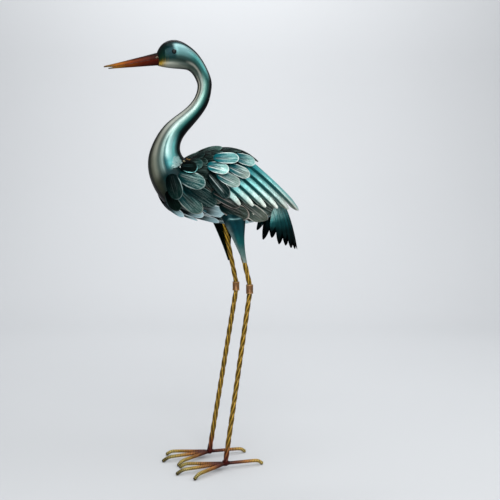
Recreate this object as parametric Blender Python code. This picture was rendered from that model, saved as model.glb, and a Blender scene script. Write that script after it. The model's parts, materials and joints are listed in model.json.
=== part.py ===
"""Crane garden statue: a life-like wading bird in painted sheet steel on twisted-bar legs.

Frame: metres, +Z up, the bird faces -Y, its left side is +X. The origin is on
the ground, in the middle of the statue's plan box.

Shapes are written in millimetres in the bird's own frame, whose zero is midway
between the two ankles at the height of the toe rods' centre line; the empty
"crane" carries every piece and puts that frame in its place.
"""

import math

import bmesh
import bpy
import numpy as np
from mathutils import Vector
from mathutils.bvhtree import BVHTree

MM = 0.001

# ---------------------------------------------------------------- sizes, mm
TOE_R = 4.0  # ribbed toe rods, 8 mm
PLAN_SHIFT = 26.0  # ankles stand this far behind the middle of the plan box
GAP = 0.35  # between pieces that touch

# Head, neck and body shell: a loft through cross-sections. Each has a belly
# point and a back point (y, z) in the mid-plane and a half width.
SHELL_STATIONS = (
    # name          belly point       back point        half width
    ("bill_root", (-138.5, 907.5), (-142.0, 934.5), 11.0),
    ("face", (-126.0, 905.5), (-129.0, 956.0), 21.0),
    ("crown", (-102.0, 904.0), (-101.0, 967.0), 26.5),
    ("nape", (-79.0, 903.5), (-68.0, 956.0), 25.0),
    ("throat", (-61.0, 898.0), (-38.0, 929.0), 20.5),
    ("upper_neck", (-48.0, 879.0), (-16.0, 889.0), 17.0),
    ("neck_arch", (-46.0, 862.0), (-14.0, 860.0), 16.2),
    ("mid_neck", (-54.5, 839.5), (-24.5, 823.5), 16.8),
    ("neck_slope", (-80.3, 812.0), (-53.7, 784.0), 19.3),
    ("neck_base", (-121.0, 780.0), (-82.0, 750.0), 24.5),
    ("crop", (-150.0, 738.0), (-90.0, 722.0), 31.5),
    ("breast", (-162.0, 694.0), (-81.0, 704.0), 41.0),
    ("low_breast", (-151.0, 643.0), (-66.0, 701.0), 49.0),
    ("shoulder", (-114.0, 594.0), (-36.0, 714.0), 54.0),
    ("belly", (-60.0, 574.0), (3.0, 721.0), 56.0),
    ("hip", (10.0, 564.0), (46.0, 714.0), 55.0),
    ("rump", (74.0, 562.0), (88.0, 690.0), 48.0),
    ("tail_root", (128.0, 576.0), (131.0, 645.0), 30.0),
    ("shell_end", (158.0, 592.0), (160.0, 612.0), 8.0),
)
SHELL_SIDES = 16

# Bill
UPPER_BILL = {"base": (936.0, 922.3), "tip": (899.8, 896.4), "tip_y": -261.0}
LOWER_BILL = {"base": (921.7, 908.4), "tip": (896.0, 893.7), "tip_y": -251.0}
BILL_HALF_WIDTH = 10.3
BILL_TIP_HALF_WIDTH = 1.1

# Eyes
EYE_AT = (-109.6, 937.0)
EYE_R = 4.6
EYE_SEAT = 0.55  # clear of the curved cheek

# Sheet-metal plumage
SHEET = 1.0  # thickness of a feather
BODY_ROWS = 7
ROW_REACH = (  # degrees round from the back on each side, feathers on each side
    (179.6, 6),
    (179.6, 7),
    (179.6, 7),
    (117.0, 5),
    (117.0, 5),
    (179.6, 7),
    (100.0, 4),
)
FIRST_ROW_RISE, ROW_ROOT_RISE = 0.8, 2.0
ROW_TIP_RISE = 6.2
ROW_OVERLAP = 1.62  # feather length over row spacing
LAST_ROW_OVERLAP = 1.3

# Wings: a fluted plate of six long feathers, laid on an ellipsoid round the body
WING_CENTRE = (20.0, 640.0)
WING_SEMI = (202.0, 69.0, 101.0)  # along the body, across it, up
WING_TILT = math.radians(22.0)
FLUTE_ANGLE = math.radians(39.0)
FLUTES = 6
FLUTE_PITCH = 17.8
FLUTE_RISE = 4.6
FLUTE_FIRST = (486.0, -354.0)  # cross position and tip position of the lowest
FLUTE_TIP_STEP = 26.3
FLUTE_ROOTS = (-432.0, -404.0)
FLUTE_POINT = 30.0
ROOT_FADE = 0.15  # the flutes die out towards the shoulder

# Wing coverts: root (y, z), tip (y, z), half width, root and tip over the wing
COVERTS = (
    ("covert_1", (-29.0, 700.0), (20.0, 688.0), 11.0, (4.6, 13.0)),
    ("covert_2", (20.0, 698.0), (62.0, 682.0), 11.5, (7.6, 11.0)),
    ("covert_3", (-47.0, 686.0), (-3.0, 673.0), 11.5, (1.0, 9.8)),
    ("covert_4", (-4.0, 675.0), (47.0, 659.5), 12.0, (6.6, 11.5)),
    ("covert_5", (-26.0, 661.0), (23.0, 642.0), 12.5, (4.6, 9.6)),
    ("covert_6", (-38.0, 670.0), (2.0, 622.0), 13.0, (1.5, 8.8)),
    ("covert_7", (-37.0, 629.0), (25.0, 595.0), 9.5, (5.2, 6.8)),
)
COVERT_TILT, COVERT_ARCH = 1.4, 0.7

# Tail fan
TAIL_TEETH = 6  # on each side of the ridge
TAIL_ROOT_AT, TAIL_ROOT_REACH = 16.85, math.radians(128.0)
TAIL_BEND = ((181.0, 600.0), (31.0, 126.0, 570.0))  # ridge (y, z), flank (x, y, z)
TAIL_TIP = ((203.0, 492.0), (45.0, 110.0, 533.0))
TAIL_FOLD, TAIL_SHEET = 1.6, 1.1
TAIL_TOOTH = 17.0

# Legs
HIP = (35.0, 30.0, 562.0)
KNEE = (42.0, 64.0, 405.5)
ANKLE = (52.5, 0.0, 9.5)
BAR = 8.6  # square bar, twisted
TWIST_PITCH = 104.0
SPIGOT = 0.74
SLEEVE_R, SLEEVE_BORE, SLEEVE_LENGTH = 8.2, 6.5, 21.0

# Feet
TOE_FRONT, TOE_SIDE, TOE_BACK = 119.5, 107.5, 93.5
TOE_SPREAD_OUT = math.radians(28.5)
TOE_SPREAD_IN = math.radians(26.0)
TOE_KNUCKLE = 0.84  # where a toe turns down, as a share of its length
TOE_KNUCKLE_Z = 7.2

# Thigh covers: sizes at the hip and at the lower tip
THIGH_TIP_Z = 467.0
THIGH_DEPTH = (23.0, 5.0)
THIGH_BULGE = (19.0, 2.2)
THIGH_LEAD, THIGH_TUCK, THIGH_CLEAR = 6.0, 6.0, 4.0

TEAL = (0.055, 0.235, 0.245)
PALE = (0.42, 0.64, 0.62)
DARK = (0.012, 0.055, 0.06)
GOLD = (0.36, 0.24, 0.045)
COPPER = (0.30, 0.12, 0.06)


# ---------------------------------------------------------------- helpers
def clear_scene():
    for obj in list(bpy.data.objects):
        bpy.data.objects.remove(obj)


def paint(name, colour, roughness=0.32, metallic=0.8):
    mat = bpy.data.materials.get(name) or bpy.data.materials.new(name)
    mat.use_nodes = True
    bsdf = mat.node_tree.nodes["Principled BSDF"]
    bsdf.inputs["Base Color"].default_value = (*colour, 1.0)
    bsdf.inputs["Roughness"].default_value = roughness
    bsdf.inputs["Metallic"].default_value = metallic
    return mat


def natural_spline(values):
    """A smooth curve through values[i] at i: returns f(u) for arrays of u."""
    y = np.array(values, float)
    n = len(y)
    m = np.zeros((n, n))
    r = np.zeros((n, y.shape[1]))
    m[0, 0] = m[-1, -1] = 1.0
    for i in range(1, n - 1):
        m[i, i - 1 : i + 2] = (1.0, 4.0, 1.0)
        r[i] = 6.0 * (y[i - 1] - 2 * y[i] + y[i + 1])
    second = np.linalg.solve(m, r)

    def at(u):
        u = np.clip(np.asarray(u, float), 0.0, n - 1.0)
        i = np.minimum(u.astype(int), n - 2)
        f = (u - i)[..., None]
        a, b = y[i], y[i + 1]
        sa, sb = second[i], second[i + 1]
        g = 1.0 - f
        return g * a + f * b + ((g**3 - g) * sa + (f**3 - f) * sb) / 6.0

    return at


shell_curve = natural_spline(
    [(*belly, *back, half) for _, belly, back, half in SHELL_STATIONS]
)
SHELL_LAST = len(SHELL_STATIONS) - 1.0


def shell_point(u, phi):
    """The shell's surface: u runs from bill to tail, phi from back (0) to belly (pi)."""
    c = shell_curve(u)
    belly, back, half = c[..., 0:2], c[..., 2:4], c[..., 4]
    mid, arm = (belly + back) / 2, (back - belly) / 2
    yz = mid + arm * np.cos(phi)[..., None]
    return np.stack([half * np.sin(phi), yz[..., 0], yz[..., 1]], -1)


def shell_normal(u, phi):
    e = 1e-3
    du = shell_point(u + e, phi) - shell_point(u - e, phi)
    dphi = shell_point(u, phi + e) - shell_point(u, phi - e)
    n = np.cross(dphi, du)
    return n / np.linalg.norm(n, axis=-1, keepdims=True)


def new_object(name, mesh, material, root, smooth_angle=35.0):
    mesh.materials.append(material)
    mesh.shade_smooth()
    mesh.set_sharp_from_angle(angle=math.radians(smooth_angle))
    obj = bpy.data.objects.new(name, mesh)
    bpy.context.scene.collection.objects.link(obj)
    obj.parent = root
    return obj


def to_mesh(name, verts, faces):
    bm = bmesh.new()
    points = [bm.verts.new(Vector([float(c) * MM for c in v])) for v in verts]
    for face in faces:
        bm.faces.new([points[i] for i in face])
    bmesh.ops.recalc_face_normals(bm, faces=bm.faces)
    if bm.calc_volume(signed=True) < 0:
        bmesh.ops.reverse_faces(bm, faces=bm.faces)
    mesh = bpy.data.meshes.new(name)
    bm.to_mesh(mesh)
    bm.free()
    return mesh


def loft_mesh(name, rings):
    """Closed rings of equal count, capped at both ends."""
    rings = [np.asarray(r, float) for r in rings]
    n = len(rings[0])
    verts = np.concatenate(rings)
    faces = []
    for i in range(len(rings) - 1):
        a, b = i * n, (i + 1) * n
        for j in range(n):
            k = (j + 1) % n
            faces.append((a + j, a + k, b + k, b + j))
    faces.append(tuple(range(n))[::-1])
    last = (len(rings) - 1) * n
    faces.append(tuple(range(last, last + n)))
    return to_mesh(name, verts, faces)


def sheet_mesh(name, outer, inner):
    """A sheet between two grids of points with the same rows and columns."""
    rows, cols = outer.shape[:2]
    verts = np.concatenate([outer.reshape(-1, 3), inner.reshape(-1, 3)])
    top = lambda i, j: i * cols + j
    low = lambda i, j: rows * cols + i * cols + j
    faces = []
    for i in range(rows - 1):
        for j in range(cols - 1):
            faces.append((top(i, j), top(i, j + 1), top(i + 1, j + 1), top(i + 1, j)))
            faces.append((low(i, j), low(i + 1, j), low(i + 1, j + 1), low(i, j + 1)))
    rim = (
        [(0, j) for j in range(cols)]
        + [(i, cols - 1) for i in range(1, rows)]
        + [(rows - 1, j) for j in range(cols - 2, -1, -1)]
        + [(i, 0) for i in range(rows - 2, 0, -1)]
    )
    for a, b in zip(rim, rim[1:] + rim[:1]):
        faces.append((top(*a), low(*a), low(*b), top(*b)))
    return to_mesh(name, verts, faces)


def mirrored(mesh, name):
    copy = mesh.copy()
    copy.name = name
    bm = bmesh.new()
    bm.from_mesh(copy)
    bmesh.ops.scale(bm, vec=(-1.0, 1.0, 1.0), verts=bm.verts)
    bmesh.ops.reverse_faces(bm, faces=bm.faces)
    bm.to_mesh(copy)
    bm.free()
    return copy


def both_sides(name, mesh, material, root):
    new_object("left_" + name, mesh, material, root)
    new_object("right_" + name, mirrored(mesh, "right_" + name), material, root)


# ---------------------------------------------------------------- shell
def shell_mesh():
    us = [0.5 * k for k in range(27)] + [14.0, 15.0, 16.0, 17.0]
    angles = np.arange(SHELL_SIDES) * 2 * math.pi / SHELL_SIDES
    rings = []
    for u in us:
        rings.append(shell_point(np.full(SHELL_SIDES, u), angles))
    return loft_mesh("head_neck_and_body", rings)


def surface_tree(mesh):
    bm = bmesh.new()
    bm.from_mesh(mesh)
    tree = BVHTree.FromBMesh(bm)
    bm.free()
    return tree


def first_hit(tree, start, direction):
    """Distance in mm from start to the shell along direction, or None."""
    d = Vector(direction).normalized()
    hit = tree.ray_cast(Vector([c * MM for c in start]), d)
    return None if hit[0] is None else hit[3] / MM


# ---------------------------------------------------------------- bill, eyes
def bill_mesh(name, spec, upward):
    belly, back = np.array(SHELL_STATIONS[0][1]), np.array(SHELL_STATIONS[0][2])
    lean = (back - belly)[0] / (back - belly)[1]
    rings = []
    steps, sides = 5, 6
    for i in range(steps + 1):
        t = i / steps
        top = spec["base"][0] + (spec["tip"][0] - spec["base"][0]) * t
        low = spec["base"][1] + (spec["tip"][1] - spec["base"][1]) * t
        w = BILL_HALF_WIDTH + (BILL_TIP_HALF_WIDTH - BILL_HALF_WIDTH) * t**0.92
        flat, crest = (low, top) if upward else (top, low)
        ring = []
        for k in range(sides + 1):
            a = math.pi * k / sides
            z = flat + (crest - flat) * math.sin(a) ** 0.9
            base_y = belly[0] + (z - belly[1]) * lean - GAP
            y = base_y * (1 - t) + spec["tip_y"] * t
            ring.append((w * math.cos(a), y, z))
        rings.append(ring)
    return loft_mesh(name, rings)


def eye_mesh(tree):
    """A bead standing square on the cheek."""
    y, z = EYE_AT
    hit = tree.ray_cast(Vector((60.0 * MM, y * MM, z * MM)), Vector((-1, 0, 0)))
    at, n = np.array(hit[0]) / MM, np.array(hit[1])
    side = np.cross(n, (0.0, 0.0, 1.0))
    side /= np.linalg.norm(side)
    up = np.cross(side, n)
    rings = []
    for rise, share in ((0.0, 0.86), (0.5, 1.0), (1.9, 0.88), (3.0, 0.62), (3.7, 0.24)):
        rings.append(
            [
                at
                + n * (EYE_SEAT + rise)
                + EYE_R * share * (math.cos(a) * side + math.sin(a) * up)
                for a in np.arange(10) * 2 * math.pi / 10
            ]
        )
    return loft_mesh("eye", rings)


# ---------------------------------------------------------------- body rows
def plumage_limits(phi):
    """Where the feathers start and end along the shell, from back to belly."""
    f = phi / math.pi
    start = 11.35 + 1.05 * f + 0.35 * math.sin(math.pi * f)
    return start, 16.9


def run_along(phi):
    """Arc length along the shell at phi: arrays of u and of millimetres."""
    start, end = plumage_limits(phi)
    us = np.linspace(start, end, 80)
    pts = shell_point(us, np.full(len(us), phi))
    step = np.linalg.norm(np.diff(pts, axis=0), axis=1)
    return us, np.concatenate([[0], np.cumsum(step)])


def lobe_columns(lobes, shift):
    """Column places in feather widths from the back: a notch, then two a tip."""
    first = -lobes + (0.5 if shift else 0.0)
    count = 3 * (2 * lobes - (1 if shift else 0))
    places = [first + j / 3 for j in range(count + 1)]
    return [-lobes] + places + [lobes] if shift else places


def feather_row(row, reach, lobes, shift):
    """A row of feathers over the back, down both sides to the angle "reach"."""
    places = lobe_columns(lobes, shift)
    outer = np.zeros((3, len(places), 3))
    inner = np.zeros_like(outer)
    for j, place in enumerate(places):
        phi = reach * place / lobes
        lobe = (place + (0.5 if shift else 0.0)) % 1.0
        edge = abs(lobe - 0.5) * 2.0 if 1e-6 < lobe < 1 - 1e-6 else 1.0
        tip = (LAST_ROW_OVERLAP if row == BODY_ROWS - 1 else ROW_OVERLAP) * (
            1.0 - 0.34 * edge**2.6
        )
        arch = 0.6 * (1.0 - edge**2)
        us, run = run_along(abs(phi))
        spacing = run[-1] / BODY_ROWS
        for i, share in enumerate((0.0, min(1.0, 0.85 * tip), tip)):
            at = (row + share) * spacing
            u = np.array(np.interp(min(at, run[-1]), run, us))
            p, n = shell_point(u, np.array(phi)), shell_normal(u, np.array(phi))
            if at > run[-1]:
                q = shell_point(u - 0.02, np.array(phi))
                p = p + (p - q) / np.linalg.norm(p - q) * (at - run[-1])
            seat = FIRST_ROW_RISE if (row, i) == (0, 0) else ROW_ROOT_RISE
            rise = seat + (ROW_TIP_RISE - seat) * share / ROW_OVERLAP
            rise += arch * share / ROW_OVERLAP
            inner[i, j] = p + n * rise
            outer[i, j] = p + n * (rise + SHEET)
    return sheet_mesh(f"row_{row}", outer, inner)


# ---------------------------------------------------------------- wings
def wing_out(y, z):
    """Sideways reach of the wing's ellipsoid at (y, z)."""
    c, s = math.cos(WING_TILT), math.sin(WING_TILT)
    dy, dz = y - WING_CENTRE[0], z - WING_CENTRE[1]
    a = (dy * c - dz * s) / WING_SEMI[0]
    b = (dy * s + dz * c) / WING_SEMI[2]
    return WING_SEMI[1] * math.sqrt(max(1.0 - a * a - b * b, 0.02))


def wing_point(y, z, rise=0.0):
    e = 0.5
    x = wing_out(y, z)
    n = np.array(
        [
            1.0,
            -(wing_out(y + e, z) - wing_out(y - e, z)) / (2 * e),
            -(wing_out(y, z + e) - wing_out(y, z - e)) / (2 * e),
        ]
    )
    n /= np.linalg.norm(n)
    return np.array([x, y, z]) + n * rise, n


def flute_frame(p, q):
    c, s = math.cos(FLUTE_ANGLE), math.sin(FLUTE_ANGLE)
    return c * p + s * q, -s * p + c * q


def wing_plate_mesh():
    offsets = (-0.47, -0.27, 0.0, 0.27, 0.47)
    q_first, p_first = FLUTE_FIRST
    columns = []
    for i in range(FLUTES):
        tip = p_first + FLUTE_TIP_STEP * i
        root = FLUTE_ROOTS[0] + (FLUTE_ROOTS[1] - FLUTE_ROOTS[0]) * i / (FLUTES - 1)
        for o in offsets:
            q = q_first + FLUTE_PITCH * (i + o)
            end = tip - FLUTE_POINT * abs(2 * o) ** 2.2
            ridge = FLUTE_RISE * (1.0 - abs(2 * o))
            columns.append((q, root, end, ridge))
    steps = 3
    outer = np.zeros((steps + 1, len(columns), 3))
    inner = np.zeros_like(outer)
    for j, (q, root, end, ridge) in enumerate(columns):
        for i in range(steps + 1):
            p = root + (end - root) * i / steps
            y, z = flute_frame(p, q)
            base, n = wing_point(y, z)
            rise = ridge * (ROOT_FADE if i == 0 else 1.0)
            inner[i, j] = base + n * rise
            outer[i, j] = base + n * (rise + SHEET)
    return sheet_mesh("wing_plate", outer, inner)


def covert_mesh(root, tip, half, rises):
    """An oval feather on the wing: arched, its tip and lower edge lifted."""
    widths = (0.42, 0.86, 1.0, 0.93, 0.42)
    stations = (0.0, 0.3, 0.6, 0.86, 1.0)
    across = (-1.0, 0.0, 1.0)
    root, tip = np.array(root), np.array(tip)
    axis = tip - root
    length = np.linalg.norm(axis)
    axis = axis / length
    side = np.array([-axis[1], axis[0]])
    outer = np.zeros((len(stations), len(across), 3))
    inner = np.zeros_like(outer)
    for i, (t, w) in enumerate(zip(stations, widths)):
        for j, a in enumerate(across):
            back = -0.05 * length * (1 - abs(a)) * (1 if i == 0 else 0)
            y, z = root + axis * (length * t + back) + side * (half * w * a)
            rise = rises[0] + (rises[1] - rises[0]) * t
            rise += COVERT_ARCH * (1 - a * a) - COVERT_TILT * a
            base, n = wing_point(y, z)
            inner[i, j] = base + n * rise
            outer[i, j] = base + n * (rise + SHEET)
    return sheet_mesh("covert", outer, inner)


# ---------------------------------------------------------------- tail fan
def tail_mesh():
    """A folded fan: its root lies on the shell under the last row of feathers."""
    cols, steps = 4 * TAIL_TEETH, 3
    outer = np.zeros((steps + 1, cols + 1, 3))
    for j in range(cols + 1):
        f = -1.0 + 2.0 * j / cols
        a = abs(f) * math.pi / 2
        phi = np.array(f * TAIL_ROOT_REACH)
        u = np.array(TAIL_ROOT_AT)
        root = shell_point(u, phi) + shell_normal(u, phi) * 1.9
        bend, tip = (
            np.array(
                (
                    flank[0] * math.sin(a) * (1 if f > 0 else -1),
                    flank[1] + (ridge[0] - flank[1]) * math.cos(a),
                    flank[2] + (ridge[1] - flank[2]) * math.cos(a),
                )
            )
            for ridge, flank in (TAIL_BEND, TAIL_TIP)
        )
        notch = 0.0 if j % 2 else min(TAIL_TOOTH / np.linalg.norm(tip - bend), 0.3)
        fold = TAIL_FOLD if j % 2 else -TAIL_FOLD
        for i, t in enumerate((0.0, 0.28, 0.56, 1.0 - notch)):
            p = (1 - t) ** 2 * root + 2 * t * (1 - t) * bend + t * t * tip
            out = np.array((math.sin(a) * (1 if f > 0 else -1), 0.6 * math.cos(a), 0.8 * math.cos(a)))
            outer[i, j] = p + out * fold * t
    gy = np.gradient(outer, axis=0)
    gx = np.gradient(outer, axis=1)
    n = np.cross(gy, gx)
    n /= np.linalg.norm(n, axis=-1, keepdims=True)
    if n[2, cols // 2, 1] < 0:
        n = -n
    return sheet_mesh("tail_fan", outer, outer - n * TAIL_SHEET)


# ---------------------------------------------------------------- legs
def frame_along(direction):
    d = np.array(direction, float)
    d /= np.linalg.norm(d)
    side = np.cross(d, (1.0, 0.0, 0.0))
    side /= np.linalg.norm(side)
    return d, np.cross(side, d), side


def twisted_bar(name, start, end, spigot_start=0.0, spigot_end=0.0, turn=0.0):
    """A twisted square bar cut level at its ends, with a spigot into the sleeve."""
    start, end = np.array(start, float), np.array(end, float)
    length = np.linalg.norm(end - start)
    d, u, v = frame_along(end - start)
    half = BAR / 2 * math.sqrt(2)
    steps = max(2, round(length / TWIST_PITCH * 8))

    def square(s, size, level=None):
        """Corners at distance s down the bar, slid along it to a level height."""
        corners = []
        for k in range(4):
            a = turn + 2 * math.pi * s / TWIST_PITCH + k * math.pi / 2
            p = start + d * s + size * (math.cos(a) * u + math.sin(a) * v)
            corners.append(p if level is None else p + d * (level - p[2]) / d[2])
        return corners

    rings = []
    if spigot_start:
        for h in (spigot_start, 0.6):
            rings.append(square(0.0, half * SPIGOT, start[2] + h))
    for i in range(steps + 1):
        level = {0: start[2], steps: end[2]}.get(i)
        rings.append(square(length * i / steps, half, level))
    if spigot_end:
        for h in (0.6, spigot_end):
            rings.append(square(length, half * SPIGOT, end[2] - h))
    return loft_mesh(name, rings)


def sleeve_mesh():
    sides = 14
    x, y, z = KNEE
    rings = []
    h = SLEEVE_LENGTH / 2
    for r, dz in (
        (SLEEVE_R, -h),
        (SLEEVE_R, h),
        (SLEEVE_BORE, h),
        (SLEEVE_BORE, -h),
    ):
        rings.append(
            [
                (x + r * math.cos(a), y + r * math.sin(a), z + dz)
                for a in np.arange(sides) * 2 * math.pi / sides
            ]
        )
    verts = np.concatenate(rings)
    faces = []
    for i in range(4):
        a, b = i * sides, ((i + 1) % 4) * sides
        for j in range(sides):
            k = (j + 1) % sides
            faces.append((a + j, a + k, b + k, b + j))
    return to_mesh("knee_sleeve", verts, faces)


def thigh_cover_mesh(tree):
    """A half cone of sheet on the outer side of the leg, up to the body."""
    hip, knee = np.array(HIP), np.array(KNEE)
    bottom = hip + (knee - hip) * (hip[2] - THIGH_TIP_Z) / (hip[2] - knee[2])
    cols, rows = 6, 4
    outer = np.zeros((rows + 1, cols + 1, 3))

    def at(t, a):
        centre = hip + (bottom - hip) * t
        centre = centre + np.array((0.0, -THIGH_LEAD * (1 - t) ** 2, 0.0))
        e = (1 - t) ** 1.15 if t < 1 else 0.0
        depth = THIGH_DEPTH[1] + (THIGH_DEPTH[0] - THIGH_DEPTH[1]) * e
        bulge = THIGH_BULGE[1] + (THIGH_BULGE[0] - THIGH_BULGE[1]) * e
        away = 8.4 - 8.4 * e
        return centre + np.array(
            (away + bulge * math.cos(a), depth * math.sin(a), 0.0)
        )

    for j in range(cols + 1):
        a = -math.pi / 2 + math.pi * j / cols
        low, high = at(0.35, a), at(0.0, a) + np.array((-THIGH_TUCK * math.cos(a), 0, 0))
        upwards = high - low
        reach = first_hit(tree, low, upwards)
        span = np.linalg.norm(upwards)
        top = low + upwards / span * (reach - THIGH_CLEAR if reach else span)
        for i in range(rows + 1):
            t = i / rows
            outer[i, j] = at(1.0 - 1.3 * t, a) if t <= 0.5 else low + (top - low) * (2 * t - 1)
    gy = np.gradient(outer, axis=0)
    gx = np.gradient(outer, axis=1)
    n = np.cross(gy, gx)
    n /= np.linalg.norm(n, axis=-1, keepdims=True)
    if n[2, cols // 2, 0] < 0:
        n = -n
    return sheet_mesh("thigh_cover", outer, outer - n * SHEET)


# ---------------------------------------------------------------- feet
def toe_path(length):
    """Points (distance, height) of a toe from the ankle: level, then down."""
    knuckle = TOE_KNUCKLE * length
    pts = [(0.0, ANKLE[2]), (0.5 * knuckle, 0.5 * (ANKLE[2] + TOE_KNUCKLE_Z))]
    pts.append((knuckle - 6.0, TOE_KNUCKLE_Z + 0.3))
    pts.append((knuckle + 3.0, TOE_KNUCKLE_Z - 1.2))
    pts.append((knuckle + 0.55 * (length - knuckle), TOE_KNUCKLE_Z - 4.6))
    pts.append((length, -2.6))
    pts.append((length + 4.0, -6.6))
    return pts


def rod_rings(points, sides=6):
    pts = np.array(points, float)
    rings = []
    for i, p in enumerate(pts):
        d = pts[min(i + 1, len(pts) - 1)] - pts[max(i - 1, 0)]
        d /= np.linalg.norm(d)
        side = np.cross(d, (0.0, 0.0, 1.0))
        side /= np.linalg.norm(side)
        up = np.cross(side, d)
        rings.append(
            [
                p + TOE_R * (math.cos(a) * side + math.sin(a) * up)
                for a in (np.arange(sides) + 0.5) * 2 * math.pi / sides
            ]
        )
    return rings


def cut_at_ground(mesh):
    """The tips are cut off flat where they stand on the ground."""
    bm = bmesh.new()
    bm.from_mesh(mesh)
    ground = Vector((0.0, 0.0, -TOE_R * MM))
    made = bmesh.ops.bisect_plane(
        bm,
        geom=bm.verts[:] + bm.edges[:] + bm.faces[:],
        plane_co=ground,
        plane_no=(0.0, 0.0, -1.0),
        clear_outer=True,
        dist=1e-7,
    )
    edges = [e for e in made["geom_cut"] if isinstance(e, bmesh.types.BMEdge)]
    bmesh.ops.holes_fill(bm, edges=edges, sides=0)
    bmesh.ops.recalc_face_normals(bm, faces=bm.faces)
    for v in bm.verts:
        if abs(v.co.z + TOE_R * MM) < 2e-6:
            v.co.z = -TOE_R * MM
    bm.to_mesh(mesh)
    bm.free()
    return mesh


def main_toe_mesh():
    """The middle front toe and the back toe, one rod bent at both ends."""
    x, y, _ = ANKLE
    front = [(x, y - d, z) for d, z in toe_path(TOE_FRONT)]
    back = [(x, y + d, z) for d, z in toe_path(TOE_BACK)]
    return cut_at_ground(loft_mesh("main_toe_rod", rod_rings(back[::-1] + front[1:])))


def side_toe_mesh(angle):
    """A side toe, mitred against the main rod; angle is outwards from ahead."""
    x, y, _ = ANKLE
    out = np.array((math.sin(angle), -math.cos(angle)))
    sign = 1.0 if angle > 0 else -1.0
    points = [(x + out[0] * d, y + out[1] * d, z) for d, z in toe_path(TOE_SIDE)]
    rings = rod_rings(points)
    wall = x + sign * (TOE_R + 0.4)
    first = []
    for v, w in zip(rings[0], rings[1]):
        v, w = np.array(v), np.array(w)
        t = (wall - v[0]) / (w[0] - v[0])
        first.append(v + (w - v) * t)
    rings[0] = first
    return cut_at_ground(loft_mesh("side_toe", rings))


# ---------------------------------------------------------------- assembly
def build():
    clear_scene()
    root = bpy.data.objects.new("crane", None)
    bpy.context.scene.collection.objects.link(root)
    root.location = (0.0, PLAN_SHIFT * MM, TOE_R * MM)

    shell = paint("teal_shell_paint", TEAL)
    feather = paint("teal_feather_paint", PALE)
    dark = paint("dark_tail_paint", DARK)
    gold = paint("gold_leg_paint", GOLD)
    copper = paint("copper_sleeve_paint", COPPER)
    bill = paint("orange_bill_paint", (0.42, 0.12, 0.03), 0.35, 0.5)
    gloss = paint("black_eye_gloss", (0.01, 0.01, 0.01), 0.08, 0.0)

    body = shell_mesh()
    tree = surface_tree(body)
    new_object("head_neck_and_body", body, shell, root)

    new_object("upper_bill", bill_mesh("upper_bill", UPPER_BILL, True), bill, root)
    new_object("lower_bill", bill_mesh("lower_bill", LOWER_BILL, False), bill, root)
    both_sides("eye", eye_mesh(tree), gloss, root)

    deg = math.radians
    for row in range(BODY_ROWS):
        reach, lobes = ROW_REACH[row]
        mesh = feather_row(row, deg(reach), lobes, row % 2 == 1)
        new_object(f"body_feathers_row_{row + 1}", mesh, feather, root)

    both_sides("wing_flight_feathers", wing_plate_mesh(), feather, root)
    for name, start, tip, half, rises in COVERTS:
        both_sides("wing_" + name, covert_mesh(start, tip, half, rises), feather, root)

    new_object("tail_fan", tail_mesh(), dark, root)

    both_sides("thigh_cover", thigh_cover_mesh(tree), shell, root)
    hip, knee, ankle = np.array(HIP), np.array(KNEE), np.array(ANKLE)
    half_sleeve = SLEEVE_LENGTH / 2
    knee_top = knee + (0.0, 0.0, half_sleeve + 0.4)
    knee_low = knee - (0.0, 0.0, half_sleeve + 0.4)
    d = hip - knee_top
    reach = first_hit(tree, knee_top, d)
    top = knee_top + d / np.linalg.norm(d) * (reach - 6.2)
    upper = twisted_bar(
        "upper_leg", top, knee_top, spigot_end=half_sleeve - 1.8, turn=0.4
    )
    both_sides("upper_leg", upper, gold, root)
    both_sides("knee_sleeve", sleeve_mesh(), copper, root)
    foot_top = ankle + (0.0, 0.0, TOE_R + GAP)
    lower = twisted_bar(
        "lower_leg", knee_low, foot_top, spigot_start=half_sleeve - 1.8, turn=0.1
    )
    both_sides("lower_leg", lower, gold, root)

    both_sides("foot_main_toe_rod", main_toe_mesh(), gold, root)
    both_sides("foot_outer_toe", side_toe_mesh(TOE_SPREAD_OUT), gold, root)
    both_sides("foot_inner_toe", side_toe_mesh(-TOE_SPREAD_IN), gold, root)


build()
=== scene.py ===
"""Looks for the crane garden statue: every visible piece at full detail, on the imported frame."""

import json
import math

import bmesh
import bpy
import numpy as np
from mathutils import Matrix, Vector
from mathutils.bvhtree import BVHTree

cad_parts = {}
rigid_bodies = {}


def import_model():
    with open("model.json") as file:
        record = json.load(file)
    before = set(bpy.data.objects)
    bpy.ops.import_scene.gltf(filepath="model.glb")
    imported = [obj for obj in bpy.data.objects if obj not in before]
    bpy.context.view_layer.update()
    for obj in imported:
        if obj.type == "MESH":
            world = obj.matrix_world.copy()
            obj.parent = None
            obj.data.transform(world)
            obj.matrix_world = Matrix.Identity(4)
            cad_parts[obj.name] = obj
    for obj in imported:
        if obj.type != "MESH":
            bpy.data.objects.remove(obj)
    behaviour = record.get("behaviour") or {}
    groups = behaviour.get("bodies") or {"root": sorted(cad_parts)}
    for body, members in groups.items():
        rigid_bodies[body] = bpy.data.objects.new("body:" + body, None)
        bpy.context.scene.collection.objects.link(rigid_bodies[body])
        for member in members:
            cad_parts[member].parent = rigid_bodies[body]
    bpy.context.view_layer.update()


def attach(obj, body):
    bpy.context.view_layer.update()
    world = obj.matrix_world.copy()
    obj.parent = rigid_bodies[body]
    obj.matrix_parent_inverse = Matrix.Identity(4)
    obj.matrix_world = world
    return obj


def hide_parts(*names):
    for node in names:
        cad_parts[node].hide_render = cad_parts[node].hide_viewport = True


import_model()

MM = 0.001
SHIFT = np.array((0.0, 26.0, 4.0))  # the bird's own zero in the row frame, mm
scene = bpy.context.scene
rng = np.random.default_rng(7)


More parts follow.
